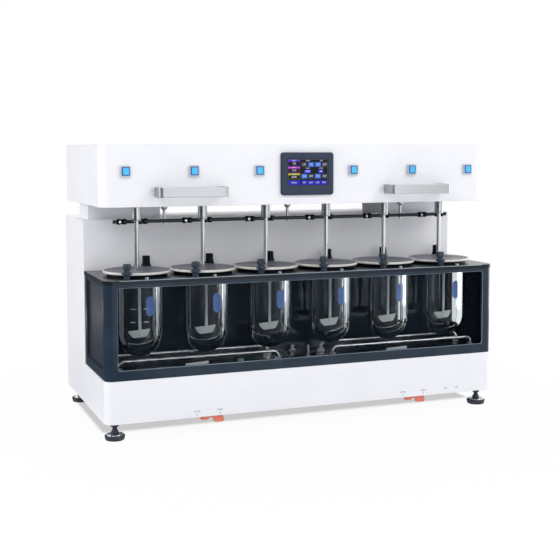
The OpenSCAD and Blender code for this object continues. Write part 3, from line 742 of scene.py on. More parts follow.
# %% Water faces at the walls
# A face belongs to a wall if it looks straight at it and lies within half a millimetre of it.
square_on, close_by = 0.99, 0.5
for material in (bath_water, window_water, end_water):
    mesh.materials.append(material)
facing = np.empty(len(mesh.polygons) * 3)
mesh.polygons.foreach_get("normal", facing)
centre = np.empty(len(mesh.polygons) * 3)
mesh.polygons.foreach_get("center", centre)
at_window = (facing[1::3] < -square_on) & (centre[1::3] * mm_per_m < water_y[0] + close_by)
at_end = (abs(facing[0::3]) > square_on) & (abs(centre[0::3]) * mm_per_m > water_end - close_by)
mesh.polygons.foreach_set("material_index", at_window + 2 * at_end)
mesh.shade_smooth()
mesh.set_sharp_from_angle(angle=math.radians(crisp_angle))
water = bpy.data.objects.new("bath_water", mesh)
scene.collection.objects.link(water)
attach(water, "base")
print("faces at the window:", at_window.sum(), "at the ends:", at_end.sum())

# %% [markdown]
# ## Turned pieces
# Lids, knobs, drive sleeves and feet are all turned or moulded round an axis. A screw modifier could turn
# them, but a profile of radius and height that is carried round a circle is one line of arrays, and the same
# grid is repeated at every axis.


# %% Lathe
def lathe(profile, centres, columns=64, flute=None, along="z"):
    """Turns (radius, height) rows about an axis at each centre (x, y, z): the point at angle t is radius
    times cos t and sin t. flute is (row amplitudes, count): the radius swells by amplitude cos(count t)."""
    profile, centres = np.array(profile, float), np.array(centres, float).reshape(-1, 3)
    t = np.linspace(0, 2 * np.pi, columns, endpoint=False)
    r = np.repeat(profile[:, :1], columns, 1)
    if flute is not None:
        r = r + np.array(flute[0], float)[:, None] * np.cos(flute[1] * t)[None]
    a, b, h = r * np.cos(t), r * np.sin(t), np.repeat(profile[:, 1:], columns, 1)
    ring = np.stack({"z": [a, b, h], "y": [a, -h, b], "x": [h, a, b]}[along], -1)
    return ring[None] + centres[:, None, None, :]


lid_low, lid_high = box_mm("lid_1")
print("lid from z", lid_low[2].round(1), "to", lid_high[2].round(1), "mm")

# %% Lid finishes
# The lids are dark grey acrylic, scuffed by daily wiping: gloss with soft mottles a few millimetres wide.
lid_acrylic = finish("scuffed_grey_acrylic", "#6d6e7a", "#50515b", (0.25, 0.5), 7.0, 0.02, cloud=11.0,
                     shader={"IOR": 1.49, "Specular IOR Level": 0.3})
# Their flame-polished edge is coloured almost white: a painted highlight for the light that it gathers.
painted_lid_rim_highlight = finish("polished_acrylic_edge", "#efede6", "#dcd9d0", (0.1, 0.2), 8.0, 0.02, cloud=14.0,
                  shader={"IOR": 1.49})
print("lid finishes:", lid_acrylic.name, painted_lid_rim_highlight.name)

# %% Lids
half, low, top = lid_high[0] - (lid_high[0] + lid_low[0]) / 2, lid_low[2], lid_high[2]
lid_profile = [(5.5, low), (half - 2.5, low), (half - 0.9, low + 0.2), (half - 0.2, low + 0.9),
               (half, low + 2.0), (half, top - 1.6), (half - 0.3, top - 0.6), (half - 1.0, top - 0.1),
               (half - 2.2, top), (half - 4.5, top), (22.0, top), (21.0, top - 0.6), (19.6, top - 0.6),
               (18.6, top), (9.0, top), (6.2, top), (5.5, top - 0.6)]
lid_kind = [0] + [1] * 7 + [0] * 9
for i, axis in enumerate(axes, 1):
    lid = piece(f"lid_disc_{i}", [(lathe(lid_profile, [(*axis, 0)], 96), True, lid_kind)], f"lid_{i}",
                [lid_acrylic, painted_lid_rim_highlight])
    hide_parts(f"lid_{i}")
print("lids: radius", round(half, 1), "mm")

# %% Cover knobs
knob_step = np.array([46, 91])
cover_top = np.full(len(axes), cover_high[2])
front_at = np.column_stack([axes - knob_step, cover_top])
rear_at = np.column_stack([axes + knob_step, cover_top])
front_knob = [(0.4, 0), (7.6, 0), (7.6, 10.0), (8.2, 11.0), (11.0, 12.0), (12.4, 13.4), (12.3, 14.8),
              (9.5, 17.0), (7.0, 19.0), (6.4, 20.6), (7.2, 22.4), (8.8, 24.0), (9.2, 25.5), (9.2, 33.0),
              (8.6, 35.0), (7.2, 36.0), (0.4, 36.0)]
front_flute = np.zeros(len(front_knob))
front_flute[10:15] = [0.3, 0.9, 1.1, 1.1, 0.6]
rear_knob = [(0.4, 0), (9.0, 0), (9.0, 9.0), (11.8, 10.0), (12.4, 11.2), (12.2, 13.0), (10.4, 16.0),
             (9.8, 19.5), (9.6, 23.0), (9.6, 34.2), (9.0, 35.5), (7.8, 36.0), (0.4, 36.0)]
knobs = piece("cover_knob_caps", [(lathe(front_knob, front_at, 70, (front_flute, 5)), False, None),
                                  (lathe(rear_knob, rear_at, 48), False, [1] * 12)], "base",
              [slate_nylon, black_nylon])
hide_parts("cover_knobs")
print("knobs:", len(front_at), "lobed and", len(rear_at), "plain")

# %% Drive sleeves
chuck_low, chuck_high = box_mm("chuck_1")
stub = 26.0
low, top = chuck_low[2], chuck_high[2] - stub
wide = (chuck_high[0] - chuck_low[0]) / 2
sleeve = [(5.1, low + 1.0), (6.0, low), (wide - 1.0, low), (wide - 0.2, low + 0.5), (wide, low + 1.3),
          (wide, low + 6.0), (wide - 0.4, low + 6.3), (wide - 0.4, low + 7.0), (wide, low + 7.3),
          (wide, top - 1.0), (wide - 0.8, top), (4.0, top), (4.0, top + stub), (0.4, top + stub),
          (0.4, top - 8.0), (5.1, top - 8.0)]
for i, axis in enumerate(axes, 1):
    chuck = piece(f"drive_sleeve_{i}", [(lathe(sleeve, [(*axis, 0)]), True, None)], f"spindle_{i}",
                  [turned_steel])
    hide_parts(f"chuck_{i}")
print("drive sleeves from z", low.round(1))

# %% [markdown]
# ## Stirrers
# Each stirrer is a ground shaft with a collar for its lid and a blade at the end. The blade's outline is a
# circle cut off flat above and below. A plate cut from sheet would have hard edges, so the outline is stacked
# a few times, a little smaller at both faces. All that dips into the liquid has a pale coat.

# %% Blade
# The circle's radius, and how far below its centre the two cuts lie.
blade_r, blade_foot, blade_top = 41.5, 36.0, 17.0


def blade_ring(inset):
    """One outline of the blade (x, z about the circle's centre), drawn in by inset: the circle's points
    between the two cuts on the right, then back on the left."""
    z = np.linspace(-blade_foot + inset, -blade_top - inset, 14)
    x = np.sqrt((blade_r - inset)**2 - z**2)
    return np.concatenate([np.stack([x, z], -1), np.stack([-x, z], -1)[::-1]])


paddle_low, paddle_high = box_mm("paddle_1")
foot, tip, mid = paddle_low[2], paddle_high[2], paddle_low[2] + blade_foot
blade_inset = [0.5, 0.1, 0.0, 0.0, 0.1, 0.5]
blade = stack([blade_ring(d) for d in blade_inset], [-2.0, -1.85, -1.5, 1.5, 1.85, 2.0], False)[0]
twist = math.radians(12.0)
turned = np.stack([blade[..., 0] * math.cos(twist) - blade[..., 1] * math.sin(twist),
                   blade[..., 0] * math.sin(twist) + blade[..., 1] * math.cos(twist),
                   blade[..., 2] + mid], -1)
print("blade from z", foot.round(1), "to", (mid - blade_top).round(1))

# %% Stirrers
seat = lid_low[2] - 0.3
shaft = [(0.4, foot + 4.0), (4.4, foot + 4.0), (5.0, foot + 4.6), (5.0, lid_low[2] - 12.0), (5.0, tip - 1.0),
         (4.2, tip), (0.4, tip)]
collar = [(5.0, seat - 8.0), (10.4, seat - 8.0), (11.0, seat - 7.4), (11.0, seat - 0.6), (10.4, seat),
          (5.0, seat)]
for i, axis in enumerate(axes, 1):
    at = np.array([*axis, 0.0])
    stirrer = piece(f"stirrer_{i}", [(lathe(shaft, [at], 40), False, [1, 1, 1, 0, 0, 0]),
                                     (lathe(collar, [at], 48), True, None),
                                     (turned[None] + at, False, [1] * 5)], f"spindle_{i}",
                    [ground_steel, blade_coat])
    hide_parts(f"paddle_{i}")
print("stirrers:", len(axes))

# %% [markdown]
# ## Floor fittings and feet
# A green strainer and a turned steel fitting stand on the bath's floor, and four feet, each with a nut,
# carry the machine. All are turned profiles again, because their ribs and shoulders show what they are.

# %% Fittings on the bath floor
drain_low, drain_high = box_mm("drain_strainers")
strainer_r, fitting_r = 12.0, 10.0
strainer_at = (drain_low[0] + strainer_r, drain_low[1] + strainer_r, drain_low[2])
fitting_at = (drain_high[0] - fitting_r, drain_high[1] - fitting_r, drain_low[2])
strainer = [(0.4, 0.05), (strainer_r, 0.05), (strainer_r, 2.4), (11.4, 3.0), (7.9, 3.2), (7.5, 4.0),
            (7.5, 5.6), (6.5, 6.0), (6.5, 7.0), (7.5, 7.4), (7.5, 8.6), (6.5, 9.0), (6.5, 10.0), (7.5, 10.4),
            (7.5, 11.8), (6.6, 12.8), (0.4, 13.0)]
fitting = [(0.4, 0.05), (fitting_r, 0.05), (fitting_r, 2.0), (9.4, 2.8), (6.0, 3.2), (4.2, 4.4), (3.6, 7.0),
           (3.6, 9.6), (5.0, 10.6), (5.5, 11.4), (5.5, 13.0), (5.0, 13.8), (2.6, 14.0), (2.4, 10.6),
           (0.4, 10.6)]
fittings = piece("floor_fittings", [(lathe(strainer, [strainer_at], 48), False, None),
                                    (lathe(fitting, [fitting_at], 48), False, [1] * 14)], "base",
                 [green_pp, plain_steel])
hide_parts("drain_strainers")
print("floor fittings at", np.round(strainer_at[:2], 1).tolist(), np.round(fitting_at[:2], 1).tolist())

# %% Levelling feet
pad_low, pad_high = box_mm("foot_pads")
pad_r = 24.0
foot_at = np.array([(x, y, 0) for x in (pad_low[0] + pad_r, pad_high[0] - pad_r)
                    for y in (pad_low[1] + pad_r, pad_high[1] - pad_r)])
pad = [(0.4, 0), (20.6, 0), (21.6, 0.5), (22.2, 1.6), (23.6, 7.6), (pad_r, 8.8), (23.8, 10.0), (22.6, 11.4),
       (20.6, 12.4), (20.2, 12.6), (19.6, 13.6), (18.8, 13.9), (9.6, 14.4), (0.4, 14.4)]
pad_kind = [0] * 8 + [1] * 4 + [0]
stem = [(0.4, 14.0), (8.6, 14.0), (8.8, 17.0), (8.2, 20.5), (5.6, 24.0), (5.6, 28.5), (5.9, 30.0),
        (5.9, 42.9), (0.4, 42.9)]
nut = np.array([(7.5, 30.2), (10.0, 31.2), (10.0, 38.2), (7.5, 39.2)])
feet = piece("levelling_feet", [(lathe(pad, foot_at), False, pad_kind), (lathe(stem, foot_at), False, None),
                                (lathe(nut, foot_at, 6), False, None)], "base", [foot_rubber, plain_steel])
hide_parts("foot_pads", "foot_stems")
print("feet at", foot_at[:, :2].round(1).tolist())

# %% [markdown]
# ## Strap handles
# Each handle is one steel strap bent into a flat U, with its feet turned inwards against the head. A curve
# with a bevel may tilt the strap in the bends, so its rounded section is carried along the centre line.


# %% Path with round bends
def bent(points, radii, steps=8):
    """A polyline with its inner corners replaced by arcs: each arc starts r / tan(half) before its corner,
    where half is half the angle between the two legs, and its points are mixed by sines of the sweep."""
    points = np.array(points, float)
    walk = [points[:1]]
    for before, at, after, r in zip(points[:-2], points[1:-1], points[2:], radii):
        a, b = (before - at) / np.linalg.norm(before - at), (after - at) / np.linalg.norm(after - at)
        half = np.arccos(np.clip(a @ b, -1, 1)) / 2
        centre = at + (a + b) / np.linalg.norm(a + b) * r / np.sin(half)
        first, last = at + a * r / np.tan(half) - centre, at + b * r / np.tan(half) - centre
        share = np.linspace(0, 1, steps + 1)[:, None]
        sweep = np.pi - 2 * half
        mixed = np.sin((1 - share) * sweep) * first + np.sin(share * sweep) * last
        walk.append(centre + mixed / np.sin(sweep))
    return np.concatenate(walk + [points[-1:]])


def carried(section, path, z):
    """Carries an n by 2 section (across, up) along a plan path: across follows the path's normal."""
    way = np.gradient(path, axis=0)
    way /= np.linalg.norm(way, axis=1)[:, None]
    normal = np.stack([way[:, 1], -way[:, 0]], -1)
    plan = path[:, None, :] + normal[:, None, :] * section[None, :, :1]
    up = np.broadcast_to(z + section[None, :, 1:], plan.shape[:2] + (1,))
    return np.concatenate([plan, up], -1)[None]


print("bent path of a square corner:", len(bent([(0, 0), (10, 0), (10, 10)], [2])), "points")

# %% Handles
bar_low, bar_high = box_mm("handles")
handle_x, strap_half, foot_turn = 300.0, 1.5, 16.5
bend_radii = [2.2, 9.5, 9.5, 2.2]
strap = outline(-strap_half, strap_half, -11.5, 11.5, (0.9, 0.9, 0.9, 0.9), 4, 0.3)
grips = []
reach = (bar_high[0] - bar_low[0]) / 2 - handle_x - strap_half
wall, out, strap_z = head_low[1] - strap_half, bar_low[1] + strap_half, (bar_low[2] + bar_high[2]) / 2
for mid in (-handle_x, handle_x):
    u_shape = [(mid - reach + foot_turn, wall), (mid - reach, wall), (mid - reach, out), (mid + reach, out),
               (mid + reach, wall), (mid + reach - foot_turn, wall)]
    grips.append((carried(strap, bent(u_shape, bend_radii), strap_z), False, None))
straps = piece("strap_handles", grips, "head", [brushed_steel])
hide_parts("handles")
print("strap handles reach to y", bar_low[1].round(1))

# %% [markdown]
# ## The touch panel
# A moulded bezel with soft edges frames a sunken screen. The screen shows a plain operating page: set values
# on the left, rows of keys on the right. A picture on the screen would be the quick way, but it would be
# blurred from close by, so each patch of colour is a thin tile that glows a little, as a display does.

# %% Bezel
bez_low, bez_high = box_mm("panel_bezel")
scr_low, scr_high = box_mm("panel_screen")
bezel_corner, screen_gap = 7, 0.3
x0, x1, z0, z1 = bez_low[0], bez_high[0], bez_low[2], bez_high[2]
outer = [outline(x0 + d, x1 - d, z0 + d, z1 - d, (bezel_corner - d,) * 4, 6, 1.0)
         for d in (0.0, 0.0, 0.5, 1.6, 3.2)]
sx0, sx1 = scr_low[0] - screen_gap, scr_high[0] + screen_gap
sz0, sz1 = scr_low[2] - screen_gap, scr_high[2] + screen_gap
inner = [outline(sx0 - d, sx1 + d, sz0 - d, sz1 + d, (2 + d,) * 4, 6, 1.0) for d in (3.0, 2.0, 0.2, 0.0)]
front, wall = bez_low[1], bez_high[1]
bezel_y = [wall, front + 2.6, front + 1.0, front + 0.2, front, front, front + 0.2, front + 1.6, wall]
bezel = piece("panel_frame", [(stack(outer + inner, bezel_y, False), True, None)],
              "head", [slate_abs])
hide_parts("panel_bezel")
# Display glass: nearly black and even, with a clear gloss.
screen_glass = finish("black_display_glass", "#090b12", "#06080e", (0.06, 0.12), 30.0, 0.002,
                      shader={"IOR": 1.5})
dress(frame["nodes"]["panel_screen"], screen_glass)
print("bezel:", (x1 - x0).round(1), "by", (z1 - z0).round(1), "mm")


# %% Lit colours
def lit(name, light, dark, glow=1.0):
    """A display colour: dark glass with a weak mirror that gives off its own colour, a little cloudy."""
    made = finish(name, light, dark, (0.2, 0.25), 2.0, shader={"Emission Strength": glow, "IOR": 1.5,
                                                               "Specular IOR Level": 0.1})
    body = next(n for n in made.node_tree.nodes if n.type == "BSDF_PRINCIPLED")
    tint = body.inputs["Base Color"].links[0]
    made.node_tree.links.new(tint.from_socket, body.inputs["Emission Color"])
    made.node_tree.links.remove(tint)
    body.inputs["Base Color"].default_value = linear("#08090b")
    return made


print("recipe for lit colours ready")

# %% Display tiles
page_edge = 1.2
show_x0, show_x1 = scr_low[0] + page_edge, scr_high[0] - page_edge
show_z0, show_z1 = scr_low[2] + page_edge, scr_high[2] - page_edge


def page_spot(u, v):
    """Page shares, from the left and from the top, to x and z in mm."""
    return show_x0 + (show_x1 - show_x0) * u, show_z1 - (show_z1 - show_z0) * v


def tiles(name, colours, spots, level, r=0.5):
    """Flat tiles on the screen. A spot is (left, right, top, bottom) in shares of the shown page; level is
    the tile's height in tenths of a millimetre."""
    parts = []
    for left, right, upper, lower in spots:
        (a, d), (b, c) = page_spot(left, upper), page_spot(right, lower)
        ring = outline(a, b, c, d, (r,) * 4, 3, 0.1)
        depths = [scr_low[1] - 0.02, scr_low[1] - 0.10 * level]
        parts.append((stack([ring, ring], depths, False), False, None))
    piece(name, parts, "head", [lit(name.replace("page", "display"), *colours)])


print("page:", (show_x1 - show_x0).round(1), "by", (show_z1 - show_z0).round(1), "mm")

# %% The page
left_column = (0.0, 0.30)
tiles("page_ground", ("#0c0c10", "#0a0a0d"), [(0.0, 1.0, 0.0, 1.0)], 1)
tiles("page_purple", ("#5a35cf", "#5632c8"), [(*left_column, 0.0, 0.075)], 2)
tiles("page_magenta", ("#c653d6", "#bf4ecf"), [(*left_column, 0.27, 0.335)], 2)
tiles("page_olive", ("#b6b64e", "#afaf49"), [(*left_column, 0.53, 0.595)], 2)
tiles("page_dark_purple", ("#24185f", "#21165a"), [(*left_column, 0.075, 0.25)], 2)
tiles("page_dark_magenta", ("#5a1765", "#551560"), [(*left_column, 0.335, 0.51)], 2)
tiles("page_dark_olive", ("#4f4c14", "#4a4712"), [(*left_column, 0.595, 0.765)], 2)
tiles("page_fields", ("#050507", "#040406"),
      [(0.02, 0.28, 0.095, 0.205), (0.02, 0.28, 0.37, 0.475), (0.02, 0.28, 0.615, 0.735),
       (0.335, 0.645, 0.37, 0.53), (0.685, 0.995, 0.37, 0.53)], 3)
tiles("page_blue", ("#3f74d9", "#3b6fd1"),
      [(0.51, 0.655, 0.10, 0.28), (0.685, 0.835, 0.10, 0.28), (0.335, 0.485, 0.555, 0.735),
       (0.68, 0.83, 0.555, 0.735)], 2)
tiles("page_grey", ("#46464b", "#424247"),
      [(0.335, 0.475, 0.10, 0.28), (0.86, 0.995, 0.10, 0.28), (0.515, 0.645, 0.555, 0.735),
       (0.86, 0.995, 0.555, 0.735)], 2)
tiles("page_indigo", ("#2a27b8", "#2724b0"), [(*left_column, 0.80, 0.985)]
      + [(0.335 + 0.168 * k, 0.49 + 0.168 * k, 0.80, 0.985) for k in range(4)], 2)
tiles("page_violet", ("#4d4df2", "#4848e8"), [(0.415, 0.57, 0.395, 0.515), (0.775, 0.89, 0.395, 0.515)], 4)
print("page tiles made")

# %% [markdown]
# ## Lettering
# Plain words and numbers help a user: ON, OFF, OPEN, CLOSE, key names and set values. A text object could
# stay as it is on a plate, but it can't follow a round glass. So each text curve is made a mesh first and is
# then laid in place, either flat on a plate or wrapped round a vessel.

# %% Inks
# Screen-printed inks: an even satin film, white on glass and mid grey on the painted plate.
white_ink = finish("white_screen_ink", "#f2f4f6", "#e8ebee", (0.4, 0.5), 2.0, shader={"IOR": 1.5})
grey_ink = finish("grey_screen_ink", "#4f5862", "#444c56", (0.4, 0.5), 2.0, shader={"IOR": 1.5})
# Lit letters of the display: white with a trace of blue.
white_light = lit("display_white", "#f4f6ff", "#e8ebf6", 0.9)
print("inks:", white_ink.name, grey_ink.name)


# %% Words
# A capital is a little lower than the size of its font.
font_per_capital = 1.4


def words(name, lines, body, material, depth=0.08, wrap=None):
    """Text as mesh: each line is (text, x, y, z, height in mm) facing the front. With wrap (axis, radius) the
    flat x becomes the angle x / radius round the axis, and the letters stand on the cylinder."""
    points, faces, start = [], [], 0
    for text, x, y, z, height in lines:
        curve = bpy.data.curves.new(name, "FONT")
        curve.body, curve.size, curve.extrude = text, height * font_per_capital, depth / 2
        curve.align_x, curve.align_y = "CENTER", "CENTER"
        holder = bpy.data.objects.new(name, curve)
        flat = bpy.data.meshes.new_from_object(holder)
        spots = np.empty(len(flat.vertices) * 3)
        flat.vertices.foreach_get("co", spots)
        spots = spots.reshape(-1, 3)
        if wrap is None:
            placed = np.stack([x + spots[:, 0], y - spots[:, 2], z + spots[:, 1]], -1)
        else:
            (ax, ay), radius = wrap
            angle, reach = (x + spots[:, 0]) / radius, radius + spots[:, 2]
            placed = np.stack([ax + reach * np.sin(angle), ay - reach * np.cos(angle), z + spots[:, 1]], -1)
        points.append(placed)
        faces += [[v + start for v in p.vertices] for p in flat.polygons]
        start += len(placed)
        bpy.data.objects.remove(holder)
        bpy.data.curves.remove(curve)
        bpy.data.meshes.remove(flat)
    mesh = bpy.data.meshes.new(name)
    mesh.from_pydata((np.concatenate(points) * m_per_mm).tolist(), [], faces)
    mesh.materials.append(material)
    mesh.update()
    made = bpy.data.objects.new(name, mesh)
    scene.collection.objects.link(made)
    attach(made, body)
    return made


face, word_z, word_tall = base_low[1] - 0.05, 56, 4.0
lever_marks = [("CLOSE", -297), ("OPEN", -240), ("CLOSE", 250), ("OPEN", 309)]
marks = words("plate_words", [(text, x, face, word_z, word_tall)
                              for text, x in lever_marks + [("OFF", 375), ("ON", 408)]], "base", grey_ink)
print("plate words:", len(marks.data.vertices), "vertices")

# %% Words on the display
page_lines = [("SPEED", 0.15, 0.038, 2.6), ("100", 0.15, 0.15, 4.4), ("BATH", 0.15, 0.303, 2.6),
              ("37.0", 0.15, 0.42, 4.4), ("TIME", 0.15, 0.563, 2.6), ("60:00", 0.15, 0.675, 4.4),
              ("MENU", 0.15, 0.893, 3.6), ("HEAD", 0.50, 0.04, 3.0), ("STIR", 0.84, 0.04, 3.0),
              ("UP", 0.405, 0.19, 4.0), ("DN", 0.583, 0.19, 4.0), ("ON", 0.76, 0.19, 4.0),
              ("OFF", 0.928, 0.19, 4.0), ("HEAT", 0.50, 0.335, 2.8), ("FLOW", 0.84, 0.335, 2.8),
              ("37.0", 0.492, 0.455, 4.2), ("50", 0.832, 0.455, 4.2), ("ON", 0.41, 0.645, 4.0),
              ("OFF", 0.58, 0.645, 4.0), ("ON", 0.755, 0.645, 4.0), ("OFF", 0.928, 0.645, 4.0),
              ("SET", 0.412, 0.893, 3.6), ("RUN", 0.58, 0.893, 3.6), ("LOG", 0.748, 0.893, 3.6),
              ("END", 0.916, 0.893, 3.6)]
letters_y = scr_low[1] - 0.5
placed = [(text, page_spot(u, v)[0], letters_y, page_spot(u, v)[1], tall) for text, u, v, tall in page_lines]
words("page_words", placed, "head", white_light)
print("words on the page:", len(page_lines))

# %% [markdown]
# ## Start buttons
# Each stirrer has a square lit button: a cyan lens with a dark blue border, set in a grey bezel. A bevelled
# block would round all edges alike, so the cap is a stack of rounded squares that draw in towards the front.
# Two millimetres of it stand proud of the bezel, so that it can be pressed in.

# %% Button caps
# Lit lens: clear cyan that glows evenly. Border: dark blue polycarbonate with a soft gloss.
lens_cyan = lit("lit_cyan_lens", "#5acdfa", "#48c2f6")
lens_border = finish("dark_blue_polycarbonate", "#3346b4", "#2a3a9e", (0.15, 0.25), 3.0, shader={"IOR": 1.58})
cap_in = [0.0, 0.0, 0.3, 1.0, 1.9, 2.1, 5.0]
cap_back = np.array([6.0, 1.0, 0.3, 0.0, 0.0, 0.2, 0.0])
cap_kind = [0, 0, 0, 0, 0, 1]
for i in range(1, 7):
    b_low, b_high = box_mm(f"button_{i}")
    rings = [outline(b_low[0] + d, b_high[0] - d, b_low[2] + d, b_high[2] - d,
                     (max(2.0 - d * 0.5, 0.5),) * 4, 5, 0.4) for d in cap_in]
    cap = piece(f"button_cap_{i}", [(stack(rings, b_low[1] + cap_back, False), False, cap_kind)],
                f"button_{i}", [lens_border, lens_cyan])
    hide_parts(f"button_{i}")
print("button caps: 6")

# %% [markdown]
# ## Marks on the vessels
# Laboratory glass carries fired-on marks: a blue patch to write on, and on the first vessel two filling
# lines. Painting them into the glass finish would need a mask for each, so a capsule or bar is drawn flat and
# then wrapped round the glass, as a thin film just outside it.


# %% Film on glass
def film(shape, axis, angle, z, radius):
    """Wraps a flat closed outline (n by 2, mm) round a vessel: x becomes the angle x / radius past angle, y
    is added to z. The outline shrinks to a point in steps, once on the outside and back on the inside."""
    shares = np.array([0.02, 0.3, 0.6, 0.85, 1.0, 1.0, 0.85, 0.6, 0.3, 0.02])
    reach = radius + np.array([0.12] * 5 + [0.03] * 5)
    flat = shares[:, None, None] * shape[None]
    turn = angle + flat[..., 0] / radius
    reach = np.broadcast_to(reach[:, None], turn.shape)
    x, y = axis[0] + reach * np.sin(turn), axis[1] - reach * np.cos(turn)
    return np.stack([x, y, z + flat[..., 1]], -1)[None]


# Fired enamel: a soft mid blue, half dull, slightly uneven where the brush went.
blue_enamel = finish("blue_fired_enamel", "#5f84cb", "#567bc1", (0.35, 0.5), 2.0, 0.004, cloud=12.0,
                     shader={"IOR": 1.5})
patch_turn, patch_z = math.radians(18.0), 305.5
capsule = outline(-11.5, 11.5, -23.5, 23.5, (11.4,) * 4, 10, 0.02)
patches = [(film(capsule, axis, patch_turn, patch_z, vessel_r), False, None) for axis in axes]
piece("writing_patches", patches, "base", [blue_enamel])
line_turns, line_levels = (-28.0, 6.0), {"750": 300.0, "500": 269.0}
bar = outline(-6, 6, -0.9, 0.9, (0.8,) * 4, 3, 0.1)
lines = [(film(bar, axes[0], math.radians(a), z, vessel_r), False, None)
         for a in line_turns for z in line_levels.values()]
piece("filling_lines", lines, "base", [white_ink])
words("filling_numbers", [(text, -10.4, 0, z, 4.4) for text, z in line_levels.items()], "base", white_ink,
      wrap=(axes[0], vessel_r + 0.1))
print("patches:", len(patches), "lines:", len(lines))

# %% [markdown]
# ## Drain levers
# Under the base sit two dipped valve levers. A dip coat rounds every edge, which a bevel can't do where the
# arch meets the grip, so the lever is drawn as rounded sections along its length: the lower edge arches up
# between hub and grip, and the grip drops and tapers.

# %% Lever shape
hub_in, arch_at, arch_r, roundness = 9.0, 16, 8.5, 0.55
lever_x = np.concatenate([np.linspace(-hub_in, -7.0, 6), np.linspace(-6, 46, 36), np.linspace(46.6, 49.0, 6)])
arch_rise = 4 + np.sqrt(np.maximum(arch_r**2 - (lever_x - arch_at)**2, 0))
arch = np.where(abs(lever_x - arch_at) < arch_r, arch_rise, 0)
floor_z = np.maximum(np.interp(lever_x, [-9, 8, 24, 28, 49], [8.0, 8.0, 2.0, 0.0, 0.0]), arch)
roof_z = np.interp(lever_x, [-9, 34, 40, 46, 49], [19.0, 19.0, 18.0, 14.5, 10.5])
wide = np.interp(lever_x, [-9, -8, -5, 0, 8, 14, 30, 44, 47.5, 49],
                 [2.0, 4.1, 7.4, 9.0, 7.6, 6.6, 7.4, 7.4, 6.2, 3.4])
soft = np.interp(lever_x, [-9, -7, 0, 46, 49], [0.6, 1.0, 1.0, 1.0, 0.55])
mid_z, tall = (floor_z + roof_z) / 2, (roof_z - floor_z) / 2 * soft
around = np.linspace(0, 2 * np.pi, 40, endpoint=False)
square = np.stack([np.sign(np.cos(around)) * abs(np.cos(around))**roundness,
                   np.sign(np.sin(around)) * abs(np.sin(around))**roundness], -1)
section = np.stack([np.repeat(lever_x[:, None], len(around), 1), wide[:, None] * square[None, :, 0],
                    mid_z[:, None] + tall[:, None] * square[None, :, 1]], -1)[None]
spindle_rod = [(0.4, 17.0), (4.0, 17.0), (4.0, 39.8), (0.4, 39.8)]
for name in ("left", "right"):
    l_low, l_high = box_mm(f"drain_lever_{name}")
    hub = np.array([l_low[0] + hub_in, (l_low[1] + l_high[1]) / 2, l_low[2]])
    lever = piece(f"dipped_lever_{name}", [(section + hub, False, None),
                                           (lathe(spindle_rod, [hub], 32), False, [1, 1, 1])],
                  f"lever_{name}", [lever_vinyl, plain_steel], 40.0)
    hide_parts(f"drain_lever_{name}")
print("levers are", (lever_x[-1] - lever_x[0]).round(1), "mm long")

# %% [markdown]
# ## Polished edges of the tank
# Where acrylic sheet is cut, its edge is chamfered and flame-polished, and that narrow slope catches the
# light as a thin pale line. Here that line is a painted highlight: a strip in a pale colour. A bevel would
# change the solid, so a three-sided strip is carried round the window's opening and along the cover's front
# instead.

# %% Window bead and cover edge
frame_front = box_mm("bath_frame")[0][1]
# Flame-polished edge: pale grey-blue, a painted highlight for the light that runs inside the sheet, with a
# wavy gloss.
painted_edge_highlight = finish("acrylic_edge_painted_highlight", "#93a3b0", "#74838f", (0.12, 0.25), 20.0, 0.004,
                    cloud=120.0, shader={"IOR": 1.49})
window_half, edge_half, slope, proud = 485.0, 480.0, 1.6, 0.04
wx0, wx1, wz0, wz1 = -window_half, window_half, cover_low[2] - 200.0, cover_low[2] - 8.0
loops = [outline(wx0 + d, wx1 - d, wz0 + d, wz1 - d, (6 - d,) * 4, 6, 1.0) for d in (0.02, 0.02, 1.1)]
bead_y = [frame_front + 0.05, frame_front + slope, frame_front + slope]
piece("window_bead", [(stack(loops, bead_y, False), True, None)], "base", [painted_edge_highlight])
lip = np.array([(cover_low[1] - proud, cover_high[2] - slope), (cover_low[1] - proud, cover_high[2] + proud),
                (cover_low[1] + slope, cover_high[2] + proud)])
ends = np.array([-edge_half, edge_half])
strip = np.stack([np.repeat(ends[:, None], 3, 1), np.repeat(lip[None, :, 0], 2, 0),
                  np.repeat(lip[None, :, 1], 2, 0)], -1)
piece("cover_edge", [(strip[None], False, None)], "base", [painted_edge_highlight])
print("window bead round", wx1 - wx0, "by", wz1 - wz0, "mm")

# %% End panes
# The tank's two ends have a grey film outside, which looks solid from the bright room. Its grey is a painted
# reflection of the room, as a clear end pane shows it at a slant. From the dark inside one hardly sees it, so
# it covers on its outer face only.
pane_low, pane_high = box_mm("bath_windows")
painted_reflection_grey = ("#3b3e48", "#353842")
grey_painted_reflection_film = finish("end_pane_painted_reflection", *painted_reflection_grey, (0.16, 0.26), 40.0, 0.006, cloud=90.0,
                   shader={"IOR": 1.49, "Specular IOR Level": 0.25})
tree = grey_painted_reflection_film.node_tree
side = node(tree, "ShaderNodeNewGeometry")
cover_share = node(tree, "ShaderNodeMapRange", values={"To Min": 0.93, "To Max": 0.0},
                   links={"Value": side.outputs["Backfacing"]})
film_body = next(n for n in tree.nodes if n.type == "BSDF_PRINCIPLED")
tree.links.new(cover_share.outputs["Result"], film_body.inputs["Alpha"])
# Its back is the clear sheet alone, almost unseen.
film_back = finish("clear_film_back", *painted_reflection_grey, (0.1, 0.2), 40.0, 0.004,
                   shader={"IOR": 1.49, "Alpha": 0.02})
